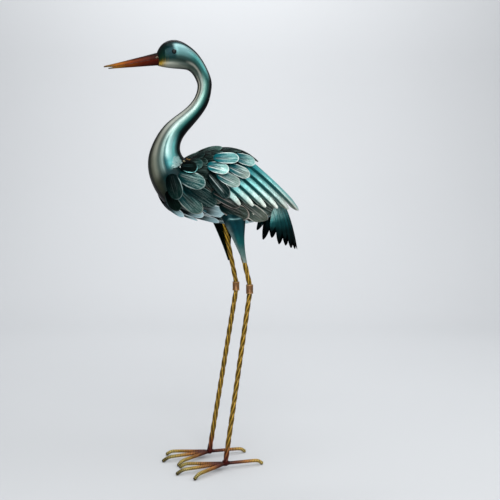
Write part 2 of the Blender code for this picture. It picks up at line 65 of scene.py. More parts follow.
# ------------------------------------------------------------ camera geometry
# In the bird's own frame, mm. It is also used to lay the visible feathers.
CAM = np.array((1854.9, -696.3, 598.5))
YAW, PITCH, FOCAL = math.radians(22.78), math.radians(3.0), 858.0
FWD = np.array(
    (
        -math.cos(YAW) * math.cos(PITCH),
        math.sin(YAW) * math.cos(PITCH),
        -math.sin(PITCH),
    )
)
RIGHT = np.array((math.sin(YAW), math.cos(YAW), 0.0))
UP = np.cross(RIGHT, FWD)


def sight(u, v):
    """The line of sight through an image point of the 500 x 500 frame."""
    d = FWD + RIGHT * (u - 250.0) / FOCAL - UP * (v - 250.0) / FOCAL
    return d / np.linalg.norm(d)


# ------------------------------------------------------------ body surface
SHELL = (
    ((-138.5, 907.5), (-142.0, 934.5), 11.0),
    ((-126.0, 905.5), (-129.0, 956.0), 21.0),
    ((-102.0, 904.0), (-101.0, 967.0), 26.5),
    ((-79.0, 903.5), (-68.0, 956.0), 25.0),
    ((-61.0, 898.0), (-38.0, 929.0), 20.5),
    ((-48.0, 879.0), (-16.0, 889.0), 17.0),
    ((-46.0, 862.0), (-14.0, 860.0), 16.2),
    ((-54.5, 839.5), (-24.5, 823.5), 16.8),
    ((-80.3, 812.0), (-53.7, 784.0), 19.3),
    ((-121.0, 780.0), (-82.0, 750.0), 24.5),
    ((-150.0, 738.0), (-90.0, 722.0), 31.5),
    ((-162.0, 694.0), (-81.0, 704.0), 41.0),
    ((-151.0, 643.0), (-66.0, 701.0), 49.0),
    ((-114.0, 594.0), (-36.0, 714.0), 54.0),
    ((-60.0, 574.0), (3.0, 721.0), 56.0),
    ((10.0, 564.0), (46.0, 714.0), 55.0),
    ((74.0, 562.0), (88.0, 690.0), 48.0),
    ((128.0, 576.0), (131.0, 645.0), 30.0),
    ((158.0, 592.0), (160.0, 612.0), 8.0),
)


def natural_spline(values):
    y = np.array(values, float)
    n = len(y)
    m = np.zeros((n, n))
    r = np.zeros((n, y.shape[1]))
    m[0, 0] = m[-1, -1] = 1.0
    for i in range(1, n - 1):
        m[i, i - 1 : i + 2] = (1.0, 4.0, 1.0)
        r[i] = 6.0 * (y[i - 1] - 2 * y[i] + y[i + 1])
    second = np.linalg.solve(m, r)

    def at(u):
        u = np.clip(np.asarray(u, float), 0.0, n - 1.0)
        i = np.minimum(u.astype(int), n - 2)
        f = (u - i)[..., None]
        g = 1.0 - f
        return (
            g * y[i]
            + f * y[i + 1]
            + ((g**3 - g) * second[i] + (f**3 - f) * second[i + 1]) / 6.0
        )

    return at


shell_curve = natural_spline([(*a, *b, h) for a, b, h in SHELL])
LAST = len(SHELL) - 1.0


def shell_point(u, phi):
    u, phi = np.broadcast_arrays(np.asarray(u, float), np.asarray(phi, float))
    c = shell_curve(u)
    belly, back, half = c[..., 0:2], c[..., 2:4], c[..., 4]
    yz = (belly + back) / 2 + (back - belly) / 2 * np.cos(phi)[..., None]
    return np.stack([half * np.sin(phi), yz[..., 0], yz[..., 1]], -1)


def unit(v):
    v = np.asarray(v, float)
    return v / np.maximum(np.linalg.norm(v, axis=-1, keepdims=True), 1e-12)


def shell_normal(u, phi):
    e = 1e-3
    du = shell_point(u + e, phi) - shell_point(u - e, phi)
    dphi = shell_point(u, phi + e) - shell_point(u, phi - e)
    return unit(np.cross(dphi, du))


def smooth(x, lo, hi):
    t = np.clip((np.asarray(x, float) - lo) / (hi - lo), 0.0, 1.0)
    return t * t * (3 - 2 * t)


def srgb(*c):
    c = np.array(c, float) / 255.0
    return np.where(c <= 0.04045, c / 12.92, ((c + 0.055) / 1.055) ** 2.4)


def mix(a, b, f):
    f = np.asarray(f, float)[..., None]
    return np.asarray(a) * (1 - f) + np.asarray(b) * f


# ------------------------------------------------------------ mesh building
def make_object(name, verts, faces, material, attrs=None, mirror=False, angle=40.0):
    """A shaded object from millimetres in the bird's frame."""
    verts = np.asarray(verts, float).copy()
    if mirror:
        verts[:, 0] *= -1
        faces = [tuple(f)[::-1] for f in faces]
    mesh = bpy.data.meshes.new(name)
    mesh.from_pydata(((verts + SHIFT) * MM).tolist(), [], [tuple(f) for f in faces])
    for key, value in (attrs or {}).items():
        value = np.asarray(value, float)
        if value.ndim == 2:
            layer = mesh.attributes.new(key, "FLOAT_COLOR", "POINT")
            rgba = np.concatenate([value, np.ones((len(value), 1))], 1)
            layer.data.foreach_set("color", rgba.astype(np.float32).ravel())
        else:
            layer = mesh.attributes.new(key, "FLOAT", "POINT")
            layer.data.foreach_set("value", value.astype(np.float32))
    mesh.materials.append(material)
    mesh.validate()
    mesh.shade_smooth()
    mesh.set_sharp_from_angle(angle=math.radians(angle))
    obj = bpy.data.objects.new(name, mesh)
    scene.collection.objects.link(obj)
    return obj


def outward(verts, faces):
    """Faces turned so that the closed mesh's volume is positive."""
    v = np.asarray(verts)
    total = 0.0
    for f in faces:
        for k in range(1, len(f) - 1):
            total += np.dot(v[f[0]], np.cross(v[f[k]], v[f[k + 1]]))
    return faces if total > 0 else [tuple(f)[::-1] for f in faces]


def loft(rings, cap=True):
    """Vertices and faces of closed rings joined one to the next."""
    rings = [np.asarray(r, float) for r in rings]
    n = len(rings[0])
    verts = np.concatenate(rings)
    faces = []
    for i in range(len(rings) - 1):
        a, b = i * n, (i + 1) * n
        for j in range(n):
            k = (j + 1) % n
            faces.append((a + j, a + k, b + k, b + j))
    if cap:
        faces.append(tuple(range(n))[::-1])
        last = (len(rings) - 1) * n
        faces.append(tuple(range(last, last + n)))
    return verts, outward(verts, faces)


def sheet(outer, inner):
    """Vertices and faces of a thin sheet between two grids of points."""
    rows, cols = outer.shape[:2]
    verts = np.concatenate([outer.reshape(-1, 3), inner.reshape(-1, 3)])
    half = rows * cols
    faces = []
    for i in range(rows - 1):
        for j in range(cols - 1):
            a = i * cols + j
            faces.append((a, a + 1, a + cols + 1, a + cols))
            b = half + a
            faces.append((b, b + cols, b + cols + 1, b + 1))
    rim = (
        [j for j in range(cols)]
        + [i * cols + cols - 1 for i in range(1, rows)]
        + [(rows - 1) * cols + j for j in range(cols - 2, -1, -1)]
        + [i * cols for i in range(rows - 2, 0, -1)]
    )
    for a, b in zip(rim, rim[1:] + rim[:1]):
        faces.append((a, half + a, half + b, b))
    return verts, outward(verts, faces)


# ------------------------------------------------------------ materials
def new_material(name):
    mat = bpy.data.materials.new(name)
    mat.use_nodes = True
    nodes, links = mat.node_tree.nodes, mat.node_tree.links
    bsdf = nodes["Principled BSDF"]
    return mat, nodes, links, bsdf


def noise(nodes, links, scale, detail=4.0, rough=0.6, vector=None):
    n = nodes.new("ShaderNodeTexNoise")
    n.inputs["Scale"].default_value = scale
    n.inputs["Detail"].default_value = detail
    n.inputs["Roughness"].default_value = rough
    if vector is not None:
        links.new(vector, n.inputs["Vector"])
    return n


def map_range(nodes, links, value, a, b, c, d):
    m = nodes.new("ShaderNodeMapRange")
    links.new(value, m.inputs["Value"])
    for key, v in zip(("From Min", "From Max", "To Min", "To Max"), (a, b, c, d)):
        m.inputs[key].default_value = v
    return m.outputs["Result"]


def math_node(nodes, links, op, a, b=None):
    m = nodes.new("ShaderNodeMath")
    m.operation = op
    for i, v in enumerate((a, b)):
        if v is None:
            continue
        if isinstance(v, (int, float)):
            m.inputs[i].default_value = v
        else:
            links.new(v, m.inputs[i])
    return m.outputs[0]


def mix_colour(nodes, links, fac, a, b, mode="MIX"):
    m = nodes.new("ShaderNodeMix")
    m.data_type = "RGBA"
    m.blend_type = mode
    for i, v in ((0, fac), (6, a), (7, b)):
        if isinstance(v, (int, float)):
            m.inputs[i].default_value = v
        elif isinstance(v, (tuple, list, np.ndarray)):
            m.inputs[i].default_value = (*[float(x) for x in v[:3]], 1.0)
        else:
            links.new(v, m.inputs[i])
    return m.outputs[2]


def attribute(nodes, name):
    n = nodes.new("ShaderNodeAttribute")
    n.attribute_type = "GEOMETRY"
    n.attribute_name = name
    return n


def stretch_noise(nodes, links, across, along, seed, scale):
    """Noise drawn out along the feather, for brush strokes."""
    a = attribute(nodes, "a").outputs["Fac"]
    t = attribute(nodes, "t").outputs["Fac"]
    k = attribute(nodes, "seed").outputs["Fac"]
    v = nodes.new("ShaderNodeCombineXYZ")
    links.new(math_node(nodes, links, "MULTIPLY", a, across), v.inputs[0])
    links.new(math_node(nodes, links, "MULTIPLY", t, along), v.inputs[1])
    links.new(math_node(nodes, links, "MULTIPLY", k, seed), v.inputs[2])
    return noise(nodes, links, scale, 4.0, 0.65, v.outputs[0]).outputs["Fac"]


def paint_material(name, metallic, rough, coat, mottle=0.25, feather=False, gain=1.0):
    """Airbrushed metallic paint: the colour, painted highlights and painted shade included, is laid on by the mesh's
    own layers.
    """
    mat, nodes, links, bsdf = new_material(name)
    col = attribute(nodes, "col").outputs["Color"]
    if gain != 1.0:
        col = mix_colour(nodes, links, 1.0, col, (gain, gain, gain), "MULTIPLY")
    obj = nodes.new("ShaderNodeTexCoord").outputs["Object"]
    cloud = noise(nodes, links, 55.0, 5.0, 0.62, obj).outputs["Fac"]
    flake = noise(nodes, links, 1500.0, 2.0, 0.7, obj).outputs["Fac"]
    dark = mix_colour(nodes, links, 1.0, col, (0.34, 0.40, 0.40), "MULTIPLY")
    fac = map_range(nodes, links, cloud, 0.42, 0.7, 0.0, mottle)
    base = mix_colour(nodes, links, fac, col, dark)
    height = map_range(nodes, links, flake, 0.3, 0.7, 0.0, 0.03)
    if feather:
        frost = attribute(nodes, "frost").outputs["Fac"]
        brush = stretch_noise(nodes, links, 4.6, 0.9, 17.0, 2.2)
        grain = noise(nodes, links, 620.0, 3.0, 0.7, obj).outputs["Fac"]
        both = math_node(nodes, links, "ADD", brush, math_node(nodes, links, "MULTIPLY", grain, 0.5))
        stroke = map_range(nodes, links, both, 0.73, 0.98, 0.0, 1.0)
        stroke = math_node(nodes, links, "MULTIPLY", stroke, frost)
        base = mix_colour(nodes, links, stroke, base, tuple(srgb(190, 216, 210)))
        shade = map_range(nodes, links, brush, 0.34, 0.58, 0.6, 0.0)
        base = mix_colour(nodes, links, shade, base, dark)
        t = attribute(nodes, "t").outputs["Fac"]
        a = attribute(nodes, "a").outputs["Fac"]
        slant = math_node(nodes, links, "MULTIPLY", math_node(nodes, links, "ABSOLUTE", a), -0.3)
        along = math_node(nodes, links, "ADD", t, slant)
        wave = math_node(nodes, links, "SINE", math_node(nodes, links, "MULTIPLY", along, 150.0))
        height = math_node(
            nodes, links, "ADD", height, map_range(nodes, links, wave, -1.0, 1.0, 0.0, 0.22)
        )
        height = math_node(
            nodes, links, "ADD", height, map_range(nodes, links, both, 0.5, 1.0, 0.0, 0.35)
        )
    else:
        scuff = attribute(nodes, "scuff").outputs["Fac"]
        tear = noise(nodes, links, 210.0, 5.0, 0.75, obj).outputs["Fac"]
        worn = math_node(nodes, links, "ADD", scuff, math_node(nodes, links, "MULTIPLY", tear, 0.9))
        worn = map_range(nodes, links, worn, 1.0, 1.14, 0.0, 0.8)
        base = mix_colour(nodes, links, worn, base, tuple(srgb(126, 150, 148)))
        height = math_node(nodes, links, "ADD", height, math_node(nodes, links, "MULTIPLY", worn, 0.5))
    links.new(base, bsdf.inputs["Base Color"])
    edge = mix_colour(nodes, links, 0.2, base, (0.5, 0.56, 0.56))
    links.new(edge, bsdf.inputs["Specular Tint"])
    r = map_range(nodes, links, cloud, 0.3, 0.7, rough * 0.8, rough * 1.3)
    links.new(r, bsdf.inputs["Roughness"])
    bump = nodes.new("ShaderNodeBump")
    bump.inputs["Strength"].default_value = 0.55
    bump.inputs["Distance"].default_value = 0.0006
    links.new(height, bump.inputs["Height"])
    links.new(bump.outputs["Normal"], bsdf.inputs["Normal"])
    bsdf.inputs["Metallic"].default_value = metallic
    bsdf.inputs["Specular IOR Level"].default_value = 0.12 if feather else 0.25
    bsdf.inputs["Coat Weight"].default_value = coat
    bsdf.inputs["Coat Roughness"].default_value = 0.1
    return mat


def eye_material():
    mat, nodes, links, bsdf = new_material("eye_gloss")
    obj = nodes.new("ShaderNodeTexCoord").outputs["Object"]
    n = noise(nodes, links, 400.0, 2.0, 0.5, obj).outputs["Fac"]
    base = mix_colour(nodes, links, n, (0.002, 0.003, 0.003), (0.010, 0.013, 0.013))
    links.new(base, bsdf.inputs["Base Color"])
    links.new(map_range(nodes, links, n, 0.3, 0.7, 0.05, 0.1), bsdf.inputs["Roughness"])
    bsdf.inputs["Specular IOR Level"].default_value = 0.14
    return mat


PAINT = paint_material("teal_airbrushed_metal", 0.65, 0.36, 0.1, 0.14)
FEATHER = paint_material("feather_airbrushed_metal", 0.8, 0.36, 0.0, 0.5, feather=True)
GOLD = paint_material("antique_gold_metal", 0.82, 0.34, 0.25, 0.55)
BILL = paint_material("bill_enamel", 0.6, 0.36, 0.05, 0.3, gain=0.5)
WORN = paint_material("worn_teal_metal", 0.65, 0.4, 0.05, 0.75)
EYE = eye_material()


# ------------------------------------------------------------ palette
BLACK_GREEN = srgb(8, 24, 24)
DEEP = srgb(10, 48, 50)
TEAL = srgb(28, 92, 96)
AQUA = srgb(96, 186, 188)
ICE = srgb(190, 230, 226)
SILVER = srgb(206, 216, 212)
CHAMPAGNE = srgb(190, 186, 170)
OLIVE = srgb(98, 98, 84)
OLIVE_DARK = srgb(48, 50, 42)
SLATE = srgb(112, 136, 148)
MIST = srgb(176, 196, 208)


def ramp(x, *stops):
    """Colour at x through (place, colour) stops, eased between them."""
    x = np.asarray(x, float)
    out = np.broadcast_to(np.asarray(stops[0][1], float), x.shape + (3,)).copy()
    for (p0, c0), (p1, c1) in zip(stops, stops[1:]):
        f = smooth(x, p0, p1)
        out = out * (1 - f[..., None]) + np.asarray(c1) * f[..., None]
    return out


# ------------------------------------------------------------ head, neck, body
def shell_colour(u, phi):
    """Colour of the shell at u, phi (phi in degrees from the back): the airbrushed paint, with painted highlights laid
    in as the pale silver, aqua and champagne bands down the side of the neck, crop and breast and the pale aqua behind
    the eye.
    """
    lore = ramp(
        phi + 8.0 * np.sin(u * 21.0 + 0.6) + 4.0 * np.sin(u * 47.0),
        (20, BLACK_GREEN * 0.7),
        (60, srgb(12, 46, 34)),
        (90, srgb(20, 60, 44)),
        (110, srgb(50, 74, 30)),
        (122, srgb(150, 118, 34)),
        (138, srgb(196, 160, 60)),
        (165, srgb(120, 104, 70)),
    )
    face = ramp(
        phi,
        (20, BLACK_GREEN * 0.8),
        (50, srgb(8, 42, 42)),
        (85, srgb(12, 56, 64)),
        (112, srgb(26, 66, 66)),
        (124, srgb(86, 104, 94)),
        (138, srgb(196, 198, 184)),
        (160, srgb(150, 152, 142)),
        (176, srgb(70, 76, 68)),
    )
    # cheek and nape: the pale aqua behind the eye and down the nape near phi 55-75 is partly the paint and partly a
    # painted highlight
    cheek = ramp(
        phi,
        (36, BLACK_GREEN * 0.3),
        (46, srgb(30, 80, 84)),
        (55, srgb(180, 222, 222)),
        (72, srgb(150, 204, 206)),
        (92, srgb(116, 170, 170)),
        (106, srgb(66, 100, 96)),
        (120, srgb(44, 62, 57)),
        (136, srgb(96, 108, 100)),
        (150, srgb(124, 130, 120)),
        (170, srgb(50, 56, 50)),
    )
    nape = ramp(
        phi,
        (44, BLACK_GREEN * 0.5),
        (56, srgb(150, 184, 180)),
        (64, srgb(120, 190, 188)),
        (76, srgb(84, 166, 164)),
        (92, srgb(62, 128, 122)),
        (110, srgb(54, 86, 80)),
        (120, srgb(176, 178, 166)),
        (132, srgb(60, 74, 68)),
        (150, srgb(80, 92, 84)),
        (172, srgb(36, 42, 38)),
    )
    # arch, neck, crop and breast: the pale silver-aqua bands between phi 70 and 130 and the champagne band near phi
    # 140-155 are painted highlights over the teal and olive paint
    arch = ramp(
        phi,
        (58, BLACK_GREEN * 0.4),
        (72, srgb(16, 44, 42)),
        (84, srgb(52, 104, 98)),
        (96, srgb(92, 150, 140)),
        (114, srgb(150, 190, 180)),
        (130, srgb(196, 210, 200)),
        (142, srgb(74, 84, 78)),
        (154, srgb(190, 186, 170)),
        (166, srgb(52, 54, 48)),
        (180, srgb(30, 34, 30)),
    )
    neck = ramp(
        phi,
        (60, BLACK_GREEN * 0.4),
        (74, srgb(12, 46, 46)),
        (84, srgb(52, 122, 116)),
        (93, srgb(100, 168, 160)),
        (102, srgb(160, 202, 194)),
        (116, srgb(200, 222, 215)),
        (125, srgb(136, 152, 146)),
        (132, srgb(88, 99, 94)),
        (141, srgb(172, 178, 168)),
        (150, srgb(190, 193, 182)),
        (158, srgb(144, 149, 141)),
        (168, srgb(58, 62, 56)),
        (178, srgb(32, 36, 31)),
    )
    crop = ramp(
        phi,
        (54, BLACK_GREEN * 0.6),
        (66, srgb(40, 84, 84)),
        (80, srgb(96, 178, 176)),
        (90, srgb(170, 222, 220)),
        (103, srgb(186, 224, 220)),
        (112, srgb(50, 98, 98)),
        (118, srgb(176, 206, 200)),
        (122, srgb(160, 190, 182)),
        (128, srgb(96, 112, 106)),
        (134, srgb(90, 100, 92)),
        (144, srgb(156, 158, 144)),
        (152, srgb(146, 147, 133)),
        (161, srgb(92, 93, 81)),
        (172, srgb(28, 32, 27)),
    )
    breast = ramp(
        phi,
        (50, BLACK_GREEN * 0.8),
        (70, srgb(110, 170, 170)),
        (88, srgb(110, 190, 190)),
        (98, srgb(96, 172, 174)),
        (108, srgb(24, 92, 98)),
        (114, srgb(20, 76, 80)),
        (120, srgb(164, 196, 190)),
        (125, srgb(126, 150, 143)),
        (132, srgb(86, 102, 95)),
        (146, srgb(138, 142, 126)),
        (156, srgb(112, 114, 99)),
        (168, srgb(54, 58, 49)),
    )
    base = ramp(
        phi,
        (60, BLACK_GREEN * 0.6),
        (95, srgb(8, 36, 38)),
        (112, srgb(10, 48, 52)),
        (126, srgb(18, 52, 52)),
        (140, srgb(38, 46, 38)),
        (154, srgb(56, 60, 46)),
        (172, srgb(26, 28, 22)),
    )
    under = ramp(phi, (90, BLACK_GREEN * 0.5), (135, srgb(18, 52, 50)), (152, srgb(24, 30, 24)), (175, srgb(12, 16, 14)))
    c = mix(lore, face, smooth(u, 0.35, 1.5))
    flank, chin = smooth(u + (90 - phi) * 0.003, 1.68, 2.02), smooth(u, 1.1, 2.7)
    c = mix(c, cheek, flank + (chin - flank) * smooth(phi, 106, 120))
    c = mix(c, nape, smooth(u, 2.6, 3.6))
    c = mix(c, arch, smooth(u, 4.2, 5.4))
    c = mix(c, neck, smooth(u, 6.6, 7.8))
    c = mix(c, crop, smooth(u, 8.9, 9.9))
    c = mix(c, breast, smooth(u, 10.4, 11.1))
    c = mix(c, base, smooth(u + (100 - phi) * 0.006, 11.2, 11.75))
    c = mix(c, under, smooth(u, 12.0, 12.7))
    # painted shade: everything from the back round to phi 112 is halved, easing back to full by phi 138, to tone down
    # the lamp-lit side
    return c * (1 - 0.5 * (1 - smooth(phi, 112, 138)))[..., None]


def shell_scuff(u, phi):
    """Where the paint is rubbed through beside the weld at the neck's root."""
    return (
        smooth(u, 10.2, 10.9)
        * (1 - smooth(u, 11.62, 11.86))
        * smooth(phi, 50, 60)
        * (1 - smooth(phi - 22 * (u - 11), 80, 104))
        * 0.67
    )


def build_shell():
    us = np.concatenate(
        [np.linspace(0, 5, 76), np.linspace(5, 12, 120)[1:], np.linspace(12, 17, 50)[1:]]
    )
    sides = 96
    phi = np.arange(sides) * 2 * math.pi / sides
    U, P = np.meshgrid(us, phi, indexing="ij")
    pts = shell_point(U, P)
    deg = np.degrees(np.minimum(P, 2 * math.pi - P))
    verts, faces = loft(list(pts))
    # a pressed ridge in front of each eye
    crest = np.exp(-(((U - 0.94) / 0.10) ** 2)) * smooth(deg, 52, 70) * (1 - smooth(deg, 98, 116))
    verts = verts + (shell_normal(U, P) * (0.8 * crest)[..., None]).reshape(-1, 3)
    col = shell_colour(U, deg).reshape(-1, 3)
    attrs = {"col": col, "scuff": shell_scuff(U, deg).ravel()}
    obj = make_object("painted_head_neck_and_body", verts, faces, PAINT, attrs)
    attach(obj, "root")
    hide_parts("head_neck_and_body")
    return us, pts, faces


shell_us, shell_grid, shell_faces = build_shell()
SIDES = shell_grid.shape[1]
shell_verts = shell_grid.reshape(-1, 3)
shell_normals = shell_normal(
    *np.meshgrid(shell_us, np.arange(SIDES) * 2 * math.pi / SIDES, indexing="ij")
).reshape(-1, 3)
tree = BVHTree.FromPolygons(
    [Vector(v) for v in shell_verts.tolist()], [tuple(f) for f in shell_faces]
)


def seen(u, v, depth=0.0):
    """The shell's point seen at an image point; depth moves the target outwards."""
    ray = sight(u, v)
    hit = tree.ray_cast(Vector(CAM), Vector(ray))
    if hit[0] is None:
        # the sight line passes the body: take where it comes nearest
        along = [CAM + ray * s for s in np.arange(1700.0, 2150.0, 4.0)]
        near = min(along, key=lambda q: tree.find_nearest(Vector(q))[3])
        return near
    return np.array(hit[0]) + np.array(hit[1]) * depth


def nearest(p):
    """Nearest shell point and its smooth normal."""
    at, _, face, _ = tree.find_nearest(Vector(p))
    at = np.array(at)
    ids = list(shell_faces[face])
    if len(ids) > 4:
        return at, unit(np.array(p) - at)
    w = 1.0 / (np.sum((shell_verts[ids] - at) ** 2, axis=1) + 1e-3)
    n = (shell_normals[ids] * w[:, None]).sum(0)
    return at, unit(n)


# ------------------------------------------------------------ feathers
def feather_shape(rows=26, cols=17, tip=0.42, root=0.35, ratio=None):
    """Grid of (distance 0..1, across -1..1) for a feather with rounded ends."""
    a = np.sin(np.linspace(-math.pi / 2, math.pi / 2, cols)) * 0.999
    bow = 1.0 - np.sqrt(1.0 - a**2)
    t = np.linspace(0, 1, rows)
    end, start = 1.0 - tip * bow, root * bow * 0.5
    T = start[None, :] + (end - start)[None, :] * t[:, None]
    A = np.broadcast_to(a, T.shape)
    return T, A, np.broadcast_to(t[:, None], T.shape)


CREASES = (-0.13, 0.15)


def relief(T, A, depth=0.7, creases=CREASES):
    """Embossed creases along the middle and a raised rim."""
    fade = smooth(T, 0.02, 0.10) * (1 - smooth(T, 0.62, 0.82))
    h = np.zeros_like(T)
    for line in creases:
        h -= depth * fade * np.exp(-(((A - line) / 0.06) ** 2))
        h += 0.5 * depth * fade * np.exp(-(((A - line + 0.1) / 0.05) ** 2))
    rim = smooth(np.abs(A), 0.84, 0.95)
    return h + 0.3 * rim


def feather_colour(T, A, t, root, tip, rim, bright=0.75, lines=0.6, creases=CREASES, side=0.0, start=0.25):
    """Root to tip colour with painted shade and painted highlights: a root darkened as painted shade where the next
    feathers lie over it, dark crease lines as painted shade with bright lines beside them as painted highlights, and a
    pale rim as a painted highlight.
    """
    # root to tip: the feather's own paint grading from dark to light, its dark root partly painted shade under the
    # overlapping feathers
    c = mix(root, tip, smooth(T, start, 0.98))
    # painted shade: the first part of the root darkened further
    c = mix(c, np.asarray(root) * 0.45, (1 - smooth(T, 0.0, 0.22)) * 0.8)
    fade = smooth(T, 0.03, 0.14) * (1 - smooth(T, 0.60, 0.85))
    for line in creases:
        # painted shade in the crease groove
        groove = fade * np.exp(-(((A - line) / 0.05) ** 2))
        c = mix(c, c * 0.25, groove * 0.85)
        # painted highlight on the ridge beside the groove
        ridge = fade * np.exp(-(((A - line + 0.1) / 0.042) ** 2))
        c = mix(c, rim, ridge * lines)
    # painted highlight: the pale rim along the edges and tip, weighted to one side when side is set
    weight = 1.0 if side == 0 else np.clip(0.35 + 0.65 * np.sign(side) * A, 0, 1)
    edge = np.maximum(smooth(np.abs(A), 0.84, 0.96), smooth(t, 0.94, 0.99)) * weight
    edge = edge * smooth(T, 0.12, 0.4)
    return mix(c, rim, edge * bright)


THICK = 0.8


def add_feather(name, surface, T, A, t, look, nodes=(), both=True, material=None):
    """A feather whose grid points are placed by surface(T, A) -> points, normals."""
    base, normal, rise = surface(T, A)
    r = relief(T, A, look.get("depth", 0.7), look.get("creases", CREASES))
    outer = base + normal * (rise + r + THICK)[..., None]
    inner = base + normal * (rise + r * 0.8)[..., None]
    verts, faces = sheet(outer, inner)
    c = feather_colour(
        T,
        A,
        t,
        look["root"],
        look["tip"],
        look.get("rim", SILVER),
        look.get("bright", 0.75),
        look.get("lines", 0.6),
        look.get("creases", CREASES),
        look.get("side", 0.0),
        look.get("start", 0.25),
    )
    c = c * look.get("gain", 0.72) * (1.0 + 0.2 * (rng.random() - 0.5))
    # the inner face gets a darker copy of the colour: painted shade underneath
    dark = c * 0.3
    frost = look.get("frost", 0.25) * smooth(T, 0.1, 0.7)
    seed = rng.random()
    attrs = {
        "col": np.concatenate([c.reshape(-1, 3), dark.reshape(-1, 3)]),
        "t": np.concatenate([T.ravel(), T.ravel()]),
        "a": np.concatenate([A.ravel(), A.ravel()]),
        "frost": np.concatenate([frost.ravel(), 0 * frost.ravel()]),
        "seed": np.full(2 * T.size, seed),
    }
    made = []
    for side, flip in (("left", False), ("right", True)) if both else (("", False),):
        label = f"{side}_{name}" if side else name
        obj = make_object(label, verts, faces, material or FEATHER, attrs, flip, 50.0)
        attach(obj, "root")
        for node in nodes:
            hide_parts(node.replace("SIDE", side))
        made.append(obj)
    return made


def on_shell(root, tip, half, r0, r1, tilt=0.0, arch=1.2, narrow=0.72):
    """A feather laid on the body shell between two 3-D points."""
    root, tip = np.asarray(root, float), np.asarray(tip, float)
    axis = tip - root
    _, n0 = nearest((root + tip) / 2)
    side = unit(np.cross(unit(axis), n0))

    def place(T, A):
        width = half * (narrow + (1 - narrow) * smooth(T, 0.0, 0.45))
        pts = root + axis * T[..., None] + side * (width * A)[..., None]
        base, normal = np.zeros_like(pts), np.zeros_like(pts)
        for idx in np.ndindex(T.shape):
            base[idx], normal[idx] = nearest(pts[idx])
        rise = r0 + (r1 - r0) * T + tilt * A + arch * (1 - A**2) * (0.3 + 0.7 * T)
        return base, normal, rise

    return place


def straight(root, tip, half, up, arch, bow=0.0):
    """A stiff feather along a line bowed by bow, arched across."""
    root, tip = np.asarray(root, float), np.asarray(tip, float)
    axis = tip - root
    side = unit(np.cross(unit(axis), up))
    normal0 = unit(np.cross(side, unit(axis)))

    def place(T, A):
        width = half * (0.74 + 0.26 * smooth(T, 0.0, 0.45))
        pts = root + axis * T[..., None] + side * (width * A)[..., None]
        pts = pts + normal0 * (arch * (1 - A**2))[..., None]
        pts = pts + np.array((0.0, 0.0, 1.0)) * (bow * 4 * T * (1 - T))[..., None]
        normal = unit(normal0 + side * (2 * arch / half * A)[..., None])
        return pts, normal, np.zeros_like(T)

    return place


PALE = srgb(196, 210, 206)
DARK = {"root": srgb(6, 22, 22), "tip": srgb(20, 46, 46), "rim": srgb(96, 132, 130), "bright": 0.45, "lines": 0.25, "frost": 0.1}
NIGHT = {"root": srgb(2, 7, 6), "tip": srgb(5, 14, 12), "rim": srgb(120, 150, 146), "bright": 0.35, "lines": 0.1, "frost": 0.006}
MID = {"root": srgb(6, 46, 48), "tip": srgb(52, 96, 94), "rim": PALE, "bright": 0.55, "lines": 0.6, "frost": 0.35}
TEALISH = {"root": srgb(5, 36, 38), "tip": srgb(34, 66, 64), "rim": srgb(126, 150, 144), "bright": 0.4, "lines": 0.35, "frost": 0.2}
LIGHT = {"root": srgb(10, 66, 68), "tip": srgb(92, 128, 120), "rim": srgb(206, 212, 200), "bright": 0.7, "lines": 0.5, "frost": 0.45}
# BROWN and BROWN_DARK carry a high gain: painted light that lifts the flank feathers out of the wing's shadow, over
# their own brown-grey paint
BROWN = {"root": srgb(14, 40, 36), "tip": srgb(126, 130, 116), "rim": srgb(220, 216, 204), "bright": 0.9, "lines": 0.95, "frost": 0.4, "gain": 1.4}
BROWN_DARK = {"root": srgb(7, 26, 25), "tip": srgb(56, 64, 56), "rim": srgb(176, 160, 150), "bright": 0.8, "lines": 0.6, "frost": 0.2, "gain": 1.25}
BLUE = {"root": srgb(5, 16, 18), "tip": srgb(178, 208, 214), "rim": srgb(226, 236, 238), "bright": 0.85, "lines": 0.1, "frost": 0.35, "gain": 1.3, "start": 0.38}
AQUA_BLUE = {"root": srgb(16, 70, 80), "tip": srgb(132, 184, 196), "rim": srgb(206, 222, 226), "bright": 0.7, "lines": 0.5, "frost": 0.4, "gain": 1.1}
FROST = {"root": srgb(10, 84, 90), "tip": srgb(136, 184, 178), "rim": srgb(232, 238, 234), "bright": 0.8, "lines": 0.85, "frost": 0.9, "gain": 0.85}
BACK = {"root": srgb(2, 11, 10), "tip": srgb(16, 34, 30), "rim": srgb(92, 112, 106), "bright": 0.4, "lines": 0.15, "frost": 0.08}

